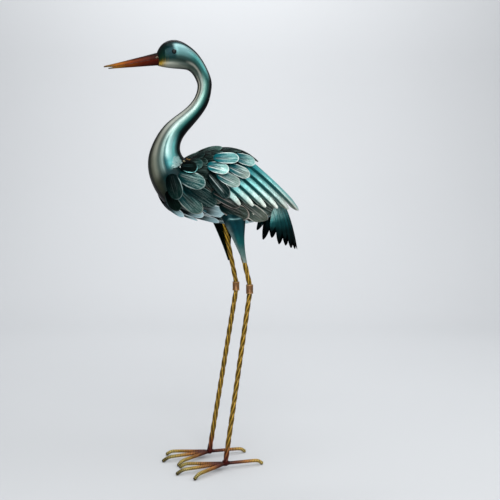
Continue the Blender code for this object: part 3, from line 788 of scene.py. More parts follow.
# Side feathers in the photograph's view: root, tip (image points), half width,
# root and tip height over the shell, tilt, look
SEEN = (
    ("breast_feather_low", (169.0, 190.0), (178.5, 208.5), 15.0, 1.0, 6.0, 0.4, {**NIGHT, "tip": srgb(18, 38, 32)}),
    ("breast_feather", (170.5, 174.0), (178.5, 197.5), 15.5, 3.6, 8.6, -0.8, {**NIGHT, "root": srgb(6, 20, 20), "tip": srgb(18, 48, 44), "rim": srgb(160, 186, 184), "bright": 0.8, "side": -1.0, "frost": 0.05}),
    ("shoulder_round_feather", (180.0, 167.0), (196.5, 169.5), 13.0, 5.0, 10.0, 0.8, {**NIGHT, "rim": srgb(140, 214, 214), "bright": 0.9, "side": 1.0}),
    ("side_feather_1", (178.5, 175.0), (204.0, 184.8), 17.0, 2.0, 8.5, 0.9, MID),
    ("side_feather_2", (178.5, 190.5), (201.0, 210.0), 17.0, 1.4, 7.6, 0.9, LIGHT),
    ("side_feather_3", (184.0, 185.0), (215.2, 203.0), 17.5, 1.2, 6.6, 0.9, TEALISH),
    ("side_feather_4", (196.0, 201.5), (223.2, 213.4), 13.8, 1.2, 6.4, 0.6, AQUA_BLUE),
    ("flank_feather_0", (203.0, 184.0), (222.0, 201.0), 15.0, 0.6, 4.0, 0.6, BROWN_DARK),
    ("flank_feather_1", (212.0, 196.0), (228.0, 209.0), 14.0, 0.8, 4.6, 0.6, BROWN_DARK),
    ("flank_feather_2", (219.0, 203.0), (246.0, 212.4), 16.0, 6.0, 17.0, 2.0, BROWN_DARK),
    ("flank_feather_3", (238.0, 201.0), (266.0, 218.8), 15.0, 3.0, 9.0, 0.6, BROWN),
    ("flank_feather_4", (253.0, 200.0), (279.0, 216.4), 15.0, 2.0, 7.0, 0.4, {**BROWN, "tip": srgb(84, 92, 84), "lines": 0.4}),
    ("rump_silver_feather", (270.0, 199.0), (284.5, 212.5), 12.0, 3.0, 7.5, 0.4, {**LIGHT, "root": srgb(30, 50, 48), "tip": srgb(128, 136, 122)}),
    ("flank_feather_5", (244.0, 212.0), (268.5, 222.0), 11.0, 1.0, 5.0, 0.4, BLUE),
    ("neck_root_feather_1", (186.0, 162.0), (207.0, 163.5), 13.0, 2.2, 7.0, 0.6, BACK),
    ("neck_root_feather_2", (197.0, 171.0), (215.0, 186.0), 15.0, 1.0, 4.6, 0.6, BACK),
    ("neck_root_feather_3", (194.0, 156.0), (222.0, 157.0), 15.0, 2.4, 7.4, 0.6, {**BACK, "tip": srgb(34, 76, 72)}),
    ("neck_root_feather_4", (202.0, 166.0), (224.0, 170.0), 14.0, 0.8, 3.8, 0.4, BACK),
)

T0, A0, t0 = feather_shape(34, 23)
for name, root_px, tip_px, half, r0, r1, tilt, look in SEEN:
    root, tip = seen(*root_px), seen(*tip_px)
    place = on_shell(root, tip, half, r0, r1, tilt)
    add_feather(name, place, T0, A0, t0, look)


# Rows over the back and belly: start and end along the shell, degrees from the
# back, half width, root and tip height, look
def laid(u0, u1, phi, half, r0, r1, look, name, tilt=0.0, cols=15, rows=22):
    T, A, t = feather_shape(rows, cols)
    root, tip = shell_point(u0, math.radians(phi)), shell_point(u1, math.radians(phi))
    place = on_shell(root, tip, half, r0, r1, tilt)
    both = abs(phi) > 0.5 and abs(phi) < 179.5
    return add_feather(name, place, T, A, t, look, both=both)


back_rows = (
    (11.75, 13.05, (26.0, 58.0)),
    (12.6, 13.95, (0.0, 40.0, 74.0)),
    (13.45, 14.75, (20.0, 58.0)),
    (14.2, 15.45, (0.0, 40.0, 78.0)),
    (14.9, 16.1, (20.0, 58.0)),
    (15.55, 16.7, (0.0, 42.0, 84.0)),
    (16.1, 17.1, (22.0, 66.0, 100.0)),
)
for k, (u0, u1, angles) in enumerate(back_rows):
    for m, phi in enumerate(angles):
        look = BACK if k % 2 else {**BACK, "tip": srgb(28, 60, 58)}
        high = 8.4 if k < 4 else 5.0
        laid(u0, u1, phi, 15.5, 1.6, high, look, f"back_feather_{k + 1}_{m + 1}")

belly_rows = (
    (12.72, 13.62, (170.0,), NIGHT),
    (13.2, 14.2, (152.0, 180.0), BLUE),
    (13.75, 14.85, (138.0, 166.0), BLUE),
    (14.35, 15.4, (150.0, 180.0), BLUE),
    (14.95, 16.0, (138.0, 166.0), BLUE),
    (15.5, 16.55, (150.0, 180.0), BLUE),
    (16.1, 17.1, (140.0, 164.0), BLUE),
)
for k, (u0, u1, angles, look) in enumerate(belly_rows):
    for m, phi in enumerate(angles):
        tone = {**BLUE, "root": srgb(20, 40, 44)} if k == 0 else look
        if k > 3 and phi < 148:
            tone = BROWN
        high = 7.8 if k < 4 else 5.4
        laid(u0, u1, phi, 14.5, 1.2, high, tone, f"belly_feather_{k + 1}_{m + 1}")

# Stiff feathers either side of the ridge of the back: root, tip, half, bow, look
RIDGE_LOOK = {**BACK, "tip": srgb(70, 92, 86), "rim": srgb(120, 140, 132), "bright": 0.6, "lines": 0.1, "frost": 0.2}
RIDGE = (
    ("ridge_feather_1", (12.0, -94.0, 688.0), (12.0, -37.0, 716.0), 13.0, 2.0, RIDGE_LOOK),
    ("ridge_feather_2", (13.0, -68.0, 699.0), (13.0, 8.0, 729.5), 15.0, 5.0, RIDGE_LOOK),
    ("ridge_feather_3", (13.0, -20.0, 718.0), (13.0, 55.0, 722.0), 14.0, 4.5, {**RIDGE_LOOK, "tip": srgb(40, 66, 62)}),
    ("ridge_feather_4", (14.0, 30.0, 723.5), (13.0, 97.0, 698.0), 14.0, 6.5, RIDGE_LOOK),
)
for name, root, tip, half, bow, look in RIDGE:
    add_feather(name, straight(root, tip, half, (0.45, 0.0, 0.89), 1.6, bow), T0, A0, t0, look)
for k in range(1, 8):
    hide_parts(f"body_feathers_row_{k}")


# ------------------------------------------------------------ wings
WING_CENTRE = (20.0, 640.0)
WING_SEMI = (202.0, 69.0, 101.0)
WING_TILT = math.radians(22.0)
FLUTE_ANGLE = math.radians(39.0)
FLUTES, FLUTE_PITCH, FLUTE_RISE = 6, 17.8, 4.6
FLUTE_FIRST, FLUTE_TIP_STEP = (486.0, -354.0), 26.3
FLUTE_ROOTS = (-432.0, -404.0)


def wing_out(y, z):
    c, s = math.cos(WING_TILT), math.sin(WING_TILT)
    dy, dz = y - WING_CENTRE[0], z - WING_CENTRE[1]
    a = (dy * c - dz * s) / WING_SEMI[0]
    b = (dy * s + dz * c) / WING_SEMI[2]
    return WING_SEMI[1] * np.sqrt(np.maximum(1.0 - a * a - b * b, 0.02))


def wing_surface(y, z):
    e = 0.5
    gy = (wing_out(y + e, z) - wing_out(y - e, z)) / (2 * e)
    gz = (wing_out(y, z + e) - wing_out(y, z - e)) / (2 * e)
    n = unit(np.stack([np.ones_like(gy), -gy, -gz], -1))
    return np.stack([wing_out(y, z), y, z], -1), n


def flute_to_yz(p, q):
    c, s = math.cos(FLUTE_ANGLE), math.sin(FLUTE_ANGLE)
    return c * p + s * q, -s * p + c * q


def build_wing_plate():
    per, rows = 30, 96
    cols = []
    for i in range(FLUTES):
        tip = FLUTE_FIRST[1] + FLUTE_TIP_STEP * i
        root = FLUTE_ROOTS[0] + (FLUTE_ROOTS[1] - FLUTE_ROOTS[0]) * i / (FLUTES - 1)
        for o in np.linspace(-0.487, 0.487, per):
            cols.append((i, o, FLUTE_FIRST[0] + FLUTE_PITCH * (i + o), root, tip))
    i, o, q, root, tip = (np.array(c, float) for c in zip(*cols))
    edge = np.abs(2 * o)
    # a blade: the lower side runs on nearly straight to the point
    end = tip - np.where(o > 0, 30.0 * edge**2.1, 22.0 * edge**2.4)
    t = np.linspace(0, 1, rows)[:, None]
    p = root + (end - root) * t
    Q, O = np.broadcast_to(q, p.shape), np.broadcast_to(o, p.shape)
    y, z = flute_to_yz(p, Q)
    base, n = wing_surface(y, z)
    d = (p - root) / (tip - root)
    fade = 0.15 + 0.85 * smooth(d, 0.0, 0.3)
    # a broad bright upper face and a steep narrow lower face
    crest = -0.19
    shape = np.where(
        O > crest,
        1 - np.abs((O - crest) / (0.487 - crest)) ** 1.5,
        1 - np.abs((O - crest) / (0.487 + crest)) ** 1.15,
    )
    height = FLUTE_RISE * np.clip(shape, 0, 1) * fade
    height = height + 0.4 * smooth(edge, 0.88, 0.97) * fade
    outer = base + n * (height + 1.0)[..., None]
    inner = base + n * (height * 0.96)[..., None]
    outer[..., 1], inner[..., 1] = np.minimum(outer[..., 1], 202.9), np.minimum(inner[..., 1], 202.6)
    verts, faces = sheet(outer, inner)
    # each flute pale on its broad upper face and dark teal on its lower face: the paint's two tones together with
    # painted light, the upper face painted lit and the lower face painted in shade
    up = ramp(
        d,
        (0.15, srgb(56, 140, 145)),
        (0.42, srgb(144, 208, 205)),
        (0.68, srgb(194, 224, 217)),
        (0.95, srgb(226, 232, 222)),
    )
    low = ramp(
        d,
        (0.2, srgb(12, 58, 60)),
        (0.5, srgb(28, 82, 82)),
        (0.75, srgb(66, 98, 92)),
        (0.95, srgb(104, 110, 98)),
    )
    bright = smooth(O, crest - 0.08, crest + 0.03) * (1 - smooth(O, 0.34, 0.47) * 0.85)
    bright = np.maximum(bright, smooth(t * np.ones_like(p), 0.93, 0.985) * smooth(O, -0.36, -0.1) * 0.9)
    top = np.broadcast_to(i == FLUTES - 1, p.shape)
    bright = np.where(top & (O > 0.3), smooth(O, crest - 0.08, crest + 0.03), bright)
    c = mix(low, up, bright)
    c = np.where((top & (O > 0.05))[..., None], mix(c, srgb(120, 214, 216), 0.5 + 0 * d), c)
    line = np.exp(-(((O + 0.45) / 0.03) ** 2)) * smooth(d, 0.55, 0.9)
    c = mix(c, srgb(186, 192, 180), line * 0.7)
    outline = np.exp(-(((O - 0.48) / 0.02) ** 2)) * top
    c = mix(c, srgb(10, 44, 46), outline * 0.8)
    frost = 0.2 * bright * smooth(d, 0.3, 0.8)
    attrs = {
        # the inner face is a darker copy: painted shade underneath
        "col": np.concatenate([c.reshape(-1, 3), (c * 0.25).reshape(-1, 3)]),
        "t": np.concatenate([d.ravel(), d.ravel()]) * 2.4,
        "a": np.concatenate([(2 * O).ravel(), (2 * O).ravel()]),
        "frost": np.concatenate([frost.ravel(), 0 * frost.ravel()]),
        "seed": np.concatenate([np.broadcast_to(i * 0.37, p.shape).ravel()] * 2),
    }
    for side_name, flip in (("left", False), ("right", True)):
        obj = make_object(f"{side_name}_fluted_wing", verts, faces, FEATHER, attrs, flip, 60.0)
        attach(obj, "root")
        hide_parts(f"{side_name}_wing_flight_feathers")


build_wing_plate()


def on_sight(u, v, lift):
    """Where an image point falls on the wing's surface, lifted off it."""
    ray = sight(u, v)
    x = 60.0
    for _ in range(12):
        p = CAM + ray * ((x - CAM[0]) / ray[0])
        x = float(wing_out(p[1], p[2])) + lift
    return p[1], p[2]


def build_wing_root():
    """The domed root of the wing, under the coverts, let down onto the body all round."""
    n = 41
    s, t = np.meshgrid(np.linspace(-1, 1, n), np.linspace(-1, 1, n), indexing="ij")
    du, dv = s * np.sqrt(1 - t * t / 2), t * np.sqrt(1 - s * s / 2)
    r = np.hypot(du, dv)
    pts = np.zeros((n, n, 3))
    for idx in np.ndindex(r.shape):
        v = dv[idx]
        y, z = on_sight(229.0 + 25.0 * du[idx], 173.0 + (20.0 if v > 0 else 16.0) * v, -1.6)
        high = np.array((float(wing_out(y, z)) - 1.6, y, z))
        low, normal = nearest(high)
        f = float(smooth(r[idx], 0.6, 1.0))
        pts[idx] = high * (1 - f) + (low - normal * 1.5) * f
    inner = pts - np.array((0.9, 0.0, 0.0))
    verts, faces = sheet(pts, inner)
    # darker towards its rim, where it goes down onto the body under the coverts: painted shade; the inner face is a
    # darker copy, painted shade too
    c = mix(srgb(14, 40, 38), srgb(6, 18, 17), smooth(r, 0.3, 1.0)).reshape(-1, 3)
    attrs = {"col": np.concatenate([c, c * 0.5]), "scuff": np.zeros(len(verts))}
    for side_name, flip in (("left", False), ("right", True)):
        obj = make_object(f"{side_name}_wing_root_plate", verts, faces, WORN, attrs, flip, 60.0)
        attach(obj, "root")


build_wing_root()


# number, root and tip (image points), half width, root and tip height, look
COVERTS = (
    (7, (212.5, 191.5), (240.4, 206.0), 11.5, (2.4, 3.0), {**BROWN_DARK, "root": srgb(8, 34, 34), "tip": srgb(44, 44, 40), "rim": srgb(160, 146, 140), "bright": 0.7, "side": -1.0}),
    (4, (228.0, 166.8), (249.4, 176.4), 12.6, (6.2, 11.0), {**FROST, "tip": srgb(156, 170, 160), "lines": 0.7}),
    (2, (234.0, 157.8), (254.4, 164.6), 12.6, (7.4, 11.6), {**FROST, "lines": 0.25}),
    (5, (217.0, 173.6), (239.9, 184.4), 13.2, (4.6, 9.9), {**FROST, "root": srgb(14, 80, 84), "tip": srgb(146, 168, 158)}),
    (3, (207.5, 165.6), (229.0, 170.6), 12.6, (2.6, 10.6), FROST),
    (1, (213.5, 158.6), (238.4, 160.2), 12.0, (4.8, 12.8), {**FROST, "lines": 0.35, "tip": srgb(84, 144, 142), "frost": 0.8}),
    (6, (208.6, 173.0), (229.6, 196.6), 13.4, (2.2, 9.6), {**DARK, "rim": srgb(206, 220, 216), "bright": 0.9, "lines": 0.8, "side": 1.0}),
)


def on_wing(root, tip, half, rises):
    root, tip = np.array(root), np.array(tip)
    axis = tip - root
    direction = axis / np.linalg.norm(axis)
    side = np.array([-direction[1], direction[0]])

    def place(T, A):
        width = half * (0.72 + 0.28 * smooth(T, 0.0, 0.45))
        yz = root + axis * T[..., None] + side * (width * A)[..., None]
        base, n = wing_surface(yz[..., 0], yz[..., 1])
        rise = rises[0] + (rises[1] - rises[0]) * T - 1.5 * A + 0.8 * (1 - A**2)
        return base, n, rise

    return place


for k, root_px, tip_px, half, rises, look in COVERTS:
    add_feather(
        f"wing_covert_feather_{k}",
        on_wing(on_sight(*root_px, rises[0] + 1), on_sight(*tip_px, rises[1] + 1), half, rises),
        *feather_shape(44, 27, 0.34),
        look,
        nodes=(f"SIDE_wing_covert_{k}",),
    )


# ------------------------------------------------------------ tail fan
def build_tail():
    teeth, per, rows = 7, 14, 64
    f = np.linspace(-1, 1, 2 * teeth * per + 1)
    a = np.abs(f) * math.pi / 2
    sign = np.where(f < 0, -1.0, 1.0)
    phi = f * math.radians(128.0)
    root = shell_point(16.85, phi) + shell_normal(16.85, phi) * 1.9
    sin, cos = np.sin(a), np.cos(a)

    def sweep(ridge, flank):
        return np.stack(
            [
                flank[0] * sin * sign,
                flank[1] + (ridge[0] - flank[1]) * cos,
                flank[2] + (ridge[1] - flank[2]) * cos,
            ],
            -1,
        )

    bend = sweep((184.0, 604.0), (31.0, 126.0, 572.0))
    tip = sweep((203.0, 492.0), (45.0, 106.0, 527.0))
    # saw teeth: each rounded point leans to the flank side
    lobe = (np.abs(f) * teeth) % 1.0
    lobe[np.abs(f) > 0.999] = 1.0
    lean = np.where(lobe > 0.66, (lobe - 0.66) / 0.34, (0.66 - lobe) / 0.66)
    which = np.minimum((np.abs(f) * teeth).astype(int), teeth - 1)
    deep = np.array((5.0, 6.0, 8.0, 10.0, 10.0, 15.0, 11.0))[which]
    extra = np.array((0.0, 0.0, 1.0, 0.0, 5.0, -1.0, 8.0))[which]
    reach = np.linalg.norm(tip - bend, axis=1)
    cut = np.minimum((deep * lean**1.6 + extra) / reach, 0.5)
    t = np.linspace(0, 1, rows)[:, None] * (1.0 - cut)[None, :]
    T = t[..., None]
    pts = (1 - T) ** 2 * root + 2 * T * (1 - T) * bend + T * T * tip
    out = unit(np.stack([sin * sign, 0.6 * cos, 0.35 * cos], -1))
    fold = np.abs(lobe - 0.5) * 2
    pts = pts + out[None] * (1.2 * (1 - fold**1.3)[None, :] * smooth(t, 0.05, 0.5))[..., None]
    gy, gx = np.gradient(pts, axis=0), np.gradient(pts, axis=1)
    n = unit(np.cross(gy, gx))
    if n[rows // 2, len(f) // 2, 1] < 0:
        n = -n
    inner = pts - n * 0.9
    pts[..., 1], inner[..., 1] = np.minimum(pts[..., 1], 203.0), np.minimum(inner[..., 1], 202.9)
    verts, faces = sheet(pts, inner)
    E = np.broadcast_to(fold, t.shape)
    # teal at the root to black at the teeth is the paint; the grey-teal band near t 0.34 is a painted sheen, made
    # streaky by the frost strokes there
    c = ramp(
        t,
        (0.0, srgb(40, 70, 68)),
        (0.34, srgb(104, 144, 140)),
        (0.50, srgb(54, 106, 106)),
        (0.66, srgb(17, 56, 58)),
        (0.82, srgb(8, 25, 26)),
        (1.0, srgb(3, 7, 7)),
    )
    # painted shade darkening the folds between the teeth
    c = mix(c, c * 0.5, smooth(E, 0.8, 1.0) * 0.6)
    frost = 0.75 * (1 - smooth(t, 0.4, 0.62))
    attrs = {
        # the inner face is a darker copy: painted shade underneath
        "col": np.concatenate([c.reshape(-1, 3), (c * 0.25).reshape(-1, 3)]),
        "t": np.concatenate([t.ravel(), t.ravel()]) * 1.2,
        "a": np.concatenate([np.tile(f * 7, (rows, 1)).ravel()] * 2),
        "frost": np.concatenate([frost.ravel(), 0 * frost.ravel()]),
        "seed": np.zeros(2 * t.size),
    }
    obj = make_object("jagged_tail_fan", verts, faces, FEATHER, attrs, False, 60.0)
    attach(obj, "root")
    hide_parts("tail_fan")


build_tail()


# ------------------------------------------------------------ bill and eyes
def build_bill(name, node, base, tip, tip_y, upward):
    belly, back = np.array(SHELL[0][0]), np.array(SHELL[0][1])
    lean = (back - belly)[0] / (back - belly)[1]
    steps, sides = 90, 30
    rings, ts, hs, xs = [], [], [], []
    for i in range(steps + 1):
        t = i / steps
        y_mid = -140.0 + (tip_y + 140.0) * t
        # the line where the two halves meet
        split = 922.0 - 0.2325 * (-141.0 - y_mid)
        outer = base + (tip[0] - base) * t
        inner = split + (0.2 if upward else -0.2)
        apart = smooth(-y_mid, 236.0, 262.0) * 2.2
        inner += apart if upward else -0.4 * apart
        if upward:
            outer = max(outer, inner + 1.4)
        else:
            outer = min(outer, inner - 1.2)
        w = 10.3 + (1.0 - 10.3) * t**0.92
        ring = []
        arc = [math.pi * k / (sides - 6) for k in range(sides - 5)]
        for a in arc:
            h = max(math.sin(a), 0.0) ** 0.85
            ring.append((w * math.cos(a), inner + (outer - inner) * h, h))
        for k in range(1, 6):
            ring.append((w * (-1 + k / 3), inner + (outer - inner) * 0.03, 0.0))
        points = []
        for x, z, h in ring:
            base_y = belly[0] + (z - belly[1]) * lean - 0.35
            points.append((x, base_y * (1 - t) + tip_y * t, z))
            ts.append(t)
            hs.append(h)
            xs.append(x)
        rings.append(points)
    verts, faces = loft(rings)
    ts, hs = np.array(ts), np.array(hs)
    if upward:
        c = ramp(
            ts,
            (0.0, srgb(34, 14, 9)),
            (0.22, srgb(76, 26, 11)),
            (0.5, srgb(112, 46, 10)),
            (0.78, srgb(150, 86, 18)),
            (0.92, srgb(104, 84, 34)),
            (1.0, srgb(62, 58, 40)),
        )
        ridge = ramp(ts, (0.0, srgb(16, 12, 10)), (0.4, srgb(56, 24, 12)), (0.8, srgb(150, 94, 30)))
        c = mix(c, ridge, smooth(hs, 0.45, 0.95) * 0.85)
        c = mix(c, srgb(60, 20, 8), (1 - smooth(hs, 0.0, 0.16)) * 0.6)
    else:
        c = ramp(
            ts,
            (0.0, srgb(78, 24, 14)),
            (0.3, srgb(100, 34, 16)),
            (0.6, srgb(134, 66, 18)),
            (0.85, srgb(168, 112, 30)),
            (0.96, srgb(110, 90, 46)),
            (1.0, srgb(60, 56, 40)),
        )
        c = mix(c, srgb(84, 26, 12), (1 - smooth(hs, 0.0, 0.2)) * 0.7)
        c = mix(c, c * 0.6, smooth(hs, 0.7, 1.0) * (1 - smooth(ts, 0.1, 0.5)))
    attrs = {"col": c, "scuff": np.zeros(len(c))}
    obj = make_object(name, verts, faces, BILL, attrs, False, 40.0)
    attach(obj, "root")
    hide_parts(node)


build_bill("upper_bill_painted", "upper_bill", 936.0, (899.6, 896.4), -261.0, True)
build_bill("lower_bill_painted", "lower_bill", 908.4, (893.9, 893.7), -251.0, False)


def build_nostrils():
    """A pressed crescent at the root of the bill on each side, coloured pale as a painted glint on its edge."""
    rings, n = [], 10
    steps = 16
    for i in range(steps + 1):
        s = i / steps
        y = -139.5 - 9.0 * s
        z = 924.0 + 1.6 * math.sin(math.pi * s) - 1.2 * s
        r = 0.25 + 0.75 * math.sin(math.pi * s)
        x = 10.25 - 0.085 * 9.0 * s - 0.25
        rings.append(
            [(x + r * math.cos(a), y, z + 0.8 * r * math.sin(a)) for a in np.arange(n) * 2 * math.pi / n]
        )
    verts, faces = loft(rings)
    # pale colour: a painted glint
    col = np.tile(srgb(190, 176, 150), (len(verts), 1))
    attrs = {"col": col, "scuff": np.zeros(len(verts))}
    for side_name, flip in (("left", False), ("right", True)):
        obj = make_object(f"{side_name}_nostril_crescent", verts, faces, BILL, attrs, flip, 60.0)
        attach(obj, "root")


build_nostrils()


def build_eye():
    hit = tree.ray_cast(Vector((60.0, -109.6, 937.0)), Vector((-1, 0, 0)))
    at, n = np.array(hit[0]), np.array(hit[1])
    side = unit(np.cross(n, (0.0, 0.0, 1.0)))
    up = np.cross(side, n)
    rings = []
    profile = [(0.2, 1.0), (0.6, 1.03)] + [
        (0.6 + 3.4 * math.sin(k * math.pi / 2 / 12), math.cos(k * math.pi / 2 / 12)) for k in range(1, 12)
    ]
    for rise, share in profile:
        rings.append(
            [
                at + n * rise + 5.0 * max(share, 0.02) * (math.cos(b) * side + math.sin(b) * up)
                for b in np.arange(32) * 2 * math.pi / 32
            ]
        )
    verts, faces = loft(rings)
    for side_name, flip in (("left", False), ("right", True)):
        obj = make_object(f"{side_name}_bead_eye", verts, faces, EYE, None, flip)
        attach(obj, "root")
        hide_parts(f"{side_name}_eye")


build_eye()


# ------------------------------------------------------------ legs and feet
HIP = np.array((35.0, 30.0, 562.0))
KNEE = np.array((42.0, 64.0, 405.5))
ANKLE = np.array((52.5, 0.0, 9.5))
TOE_R = 4.0
LEG_GOLD = srgb(156, 122, 40)
LEG_DARK = srgb(88, 66, 17)
COPPER = srgb(104, 46, 26)


def bar(name, node, start, end, size, pitch, colour, turn=0.0):
    """A twisted square bar with worn, softly rounded corners."""
    start, end = np.array(start, float), np.array(end, float)
    length = np.linalg.norm(end - start)
    d = unit(end - start)
    side = unit(np.cross(d, (1.0, 0.0, 0.0)))
    u = np.cross(side, d)
    count = int(length / 1.2)
    ring_n = 32
    ang = np.arange(ring_n) * 2 * math.pi / ring_n
    power = 3.4
    r = (np.abs(np.cos(ang)) ** power + np.abs(np.sin(ang)) ** power) ** (-1 / power) * size / 2
    corner = np.clip((r / (size / 2) - 1.0) / 0.15, 0, 1)
    r = r * (1 + 0.03 * corner)
    rings, cs = [], []
    for k in range(count + 1):
        s = length * k / count
        twist = turn + math.pi / 4 + 2 * math.pi * s / pitch
        r_here = r * (1 - 0.05 * (1 - corner) * (0.6 + 0.4 * math.sin(s * 0.11)))
        rings.append(
            start
            + d * s
            + np.outer(r_here * np.cos(ang + twist), u)
            + np.outer(r_here * np.sin(ang + twist), side)
        )
        cs.append(colour(s / length, corner))
    verts, faces = loft(rings)
    attrs = {"col": np.concatenate(cs), "scuff": np.zeros(len(verts))}
    for side_name, flip in (("left", False), ("right", True)):
        obj = make_object(f"{side_name}_{name}", verts, faces, GOLD, attrs, flip, 35.0)
        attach(obj, "root")
        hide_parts(f"{side_name}_{node}")


# gold on the corners over dark olive faces: the antique gold finish, with the corners' gold partly a painted highlight
def lower_colour(s, corner):
    x = np.full_like(corner, s)
    face = ramp(x, (0.0, LEG_DARK), (0.88, LEG_DARK), (0.96, srgb(60, 28, 14)), (1.0, srgb(44, 14, 12)))
    edge = ramp(x, (0.0, LEG_GOLD), (0.87, LEG_GOLD), (0.95, srgb(140, 80, 36)), (1.0, srgb(96, 36, 26)))
    return mix(face, edge, smooth(corner, 0.05, 0.75))


def upper_colour(s, corner):
    x = np.full_like(corner, s)
    face = ramp(x, (0.0, srgb(92, 68, 14)), (1.0, LEG_DARK))
    edge = ramp(x, (0.0, srgb(190, 150, 48)), (1.0, LEG_GOLD))
    return mix(face, edge, smooth(corner, 0.05, 0.75))


knee_top, knee_low = KNEE + (0, 0, 10.9), KNEE - (0, 0, 10.9)
direction = unit(HIP - knee_top)
hit = tree.ray_cast(Vector(knee_top), Vector(direction))
hip_top = np.array(hit[0]) - direction * 1.0
bar("upper_leg_twisted", "upper_leg", hip_top, knee_top, 9.9, 104.0, upper_colour, 0.4)
bar("lower_leg_twisted", "lower_leg", knee_low, ANKLE + (0, 0, TOE_R + 0.3), 10.1, 104.0, lower_colour, 0.1)


def build_sleeve():
    rings, cs = [], []
    profile = [(6.4, -10.5), (7.8, -10.5), (8.3, -9.9), (8.4, -8.6), (8.1, -8.0), (8.1, 8.0), (8.4, 8.6), (8.3, 9.9), (7.8, 10.5), (6.4, 10.5), (6.3, 9.5), (6.3, -9.5)]
    n = 40
    ang = np.arange(n) * 2 * math.pi / n
    for r, dz in profile:
        rings.append(np.stack([KNEE[0] + r * np.cos(ang), KNEE[1] + r * np.sin(ang), np.full(n, KNEE[2] + dz)], -1))
        tone = srgb(172, 130, 80) if r > 8.2 else srgb(130, 92, 58)
        cs.append(np.tile(tone, (n, 1)))
    verts = np.concatenate(rings)
    faces = []
    m = len(rings)
    for i in range(m):
        a, b = i * n, ((i + 1) % m) * n
        for j in range(n):
            k = (j + 1) % n
            faces.append((a + j, a + k, b + k, b + j))
    faces = outward(verts, faces)
    for side_name, flip in (("left", False), ("right", True)):
        obj = make_object(
            f"{side_name}_copper_knee_sleeve",
            verts,
            faces,
            GOLD,
            {"col": np.concatenate(cs), "scuff": np.zeros(len(verts))},
            flip,
            35.0,
        )
        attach(obj, "root")
        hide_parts(f"{side_name}_knee_sleeve")


build_sleeve()


def toe_path(length):
    knuckle = 0.84 * length
    return [
        (0.0, 9.5),
        (0.5 * knuckle, 0.5 * (9.5 + 7.2)),
        (knuckle - 6.0, 7.5),
        (knuckle + 3.0, 6.0),
        (knuckle + 0.55 * (length - knuckle), 2.6),
        (length - 0.6, -2.4),
    ]


def smooth_path(points, step):
    """Chaikin-smoothed path resampled at a step."""
    p = np.array(points, float)
    for _ in range(3):
        q = [p[0]]
        for a, b in zip(p, p[1:]):
            q += [0.75 * a + 0.25 * b, 0.25 * a + 0.75 * b]
        q.append(p[-1])
        p = np.array(q)
    run = np.concatenate([[0], np.cumsum(np.linalg.norm(np.diff(p, axis=0), axis=1))])
    s = np.arange(0, run[-1], step)
    return np.stack([np.interp(s, run, p[:, i]) for i in range(p.shape[1])], -1), s


def ribbed_rod(name, node, points, centre, phase=0.0, nodes_also=()):
    """A threaded-looking rod with slanting ribs and a rounded end."""
    path, s = smooth_path(points, 0.62)
    d = unit(np.gradient(path, axis=0))
    side = unit(np.cross(d, (0.0, 0.0, 1.0)))
    up = np.cross(side, d)
    n = 20
    ang = np.arange(n) * 2 * math.pi / n
    rings, cs = [], []
    total = s[-1]
    far = np.abs(path[:, :2] - centre[:2]).max(axis=1)
    dist = np.linalg.norm(path[:, :2] - centre[:2], axis=1)
    for k in range(len(path)):
        rib = 0.5 + 0.5 * np.cos(2 * math.pi * s[k] / 4.1 + ang + phase)
        rib = rib**1.5
        r = TOE_R - 0.5 + 0.85 * rib
        for end_gap in (s[k], total - s[k]) if points[0][2] < 5 else (total - s[k],):
            if end_gap < 4.0:
                r = r * math.sqrt(max(1 - (1 - end_gap / 4.0) ** 2, 0.03))
        ring = path[k] + np.outer(r * np.cos(ang), side[k]) + np.outer(r * np.sin(ang), up[k])
        ring[:, 2] = np.maximum(ring[:, 2], -TOE_R)
        rings.append(ring)
        g = np.full(n, dist[k])
        tone = ramp(
            g,
            (4.0, srgb(58, 18, 16)),
            (26.0, srgb(104, 56, 42)),
            (50.0, srgb(168, 112, 60)),
            (76.0, srgb(184, 148, 72)),
            (92.0, srgb(184, 162, 90)),
            (112.0, srgb(96, 84, 40)),
        )
        # dark between the ribs and brighter on their crests: painted shade in the grooves and painted highlight on the
        # crests
        tone = mix(tone * 0.08, np.minimum(tone * 1.35, 0.9), smooth(rib, 0.15, 0.75))
        cs.append(tone)
    verts, faces = loft(rings)
    col = np.concatenate(cs)
    for side_name, flip in (("left", False), ("right", True)):
        obj = make_object(
            f"{side_name}_{name}",
            verts,
            faces,
            GOLD,
            {"col": col, "scuff": np.zeros(len(verts))},
            flip,
            50.0,
        )
        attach(obj, "root")
        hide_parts(f"{side_name}_{node}")


x, y = ANKLE[0], ANKLE[1]
front = [(x, y - dd, z) for dd, z in toe_path(119.5)]
back = [(x, y + dd, z) for dd, z in toe_path(93.5)]
ribbed_rod("ribbed_main_toe", "foot_main_toe_rod", back[::-1] + front[1:], ANKLE)
for label, angle in (("outer", math.radians(28.5)), ("inner", -math.radians(26.0))):
    out = np.array((math.sin(angle), -math.cos(angle)))
    pts = [(x + out[0] * dd, y + out[1] * dd, z) for dd, z in toe_path(107.5)]
    lead = 9.0
    pts[0] = (x + out[0] * lead, y + out[1] * lead, 9.5)
    ribbed_rod(f"ribbed_{label}_toe", f"foot_{label}_toe", pts, ANKLE, 1.0)


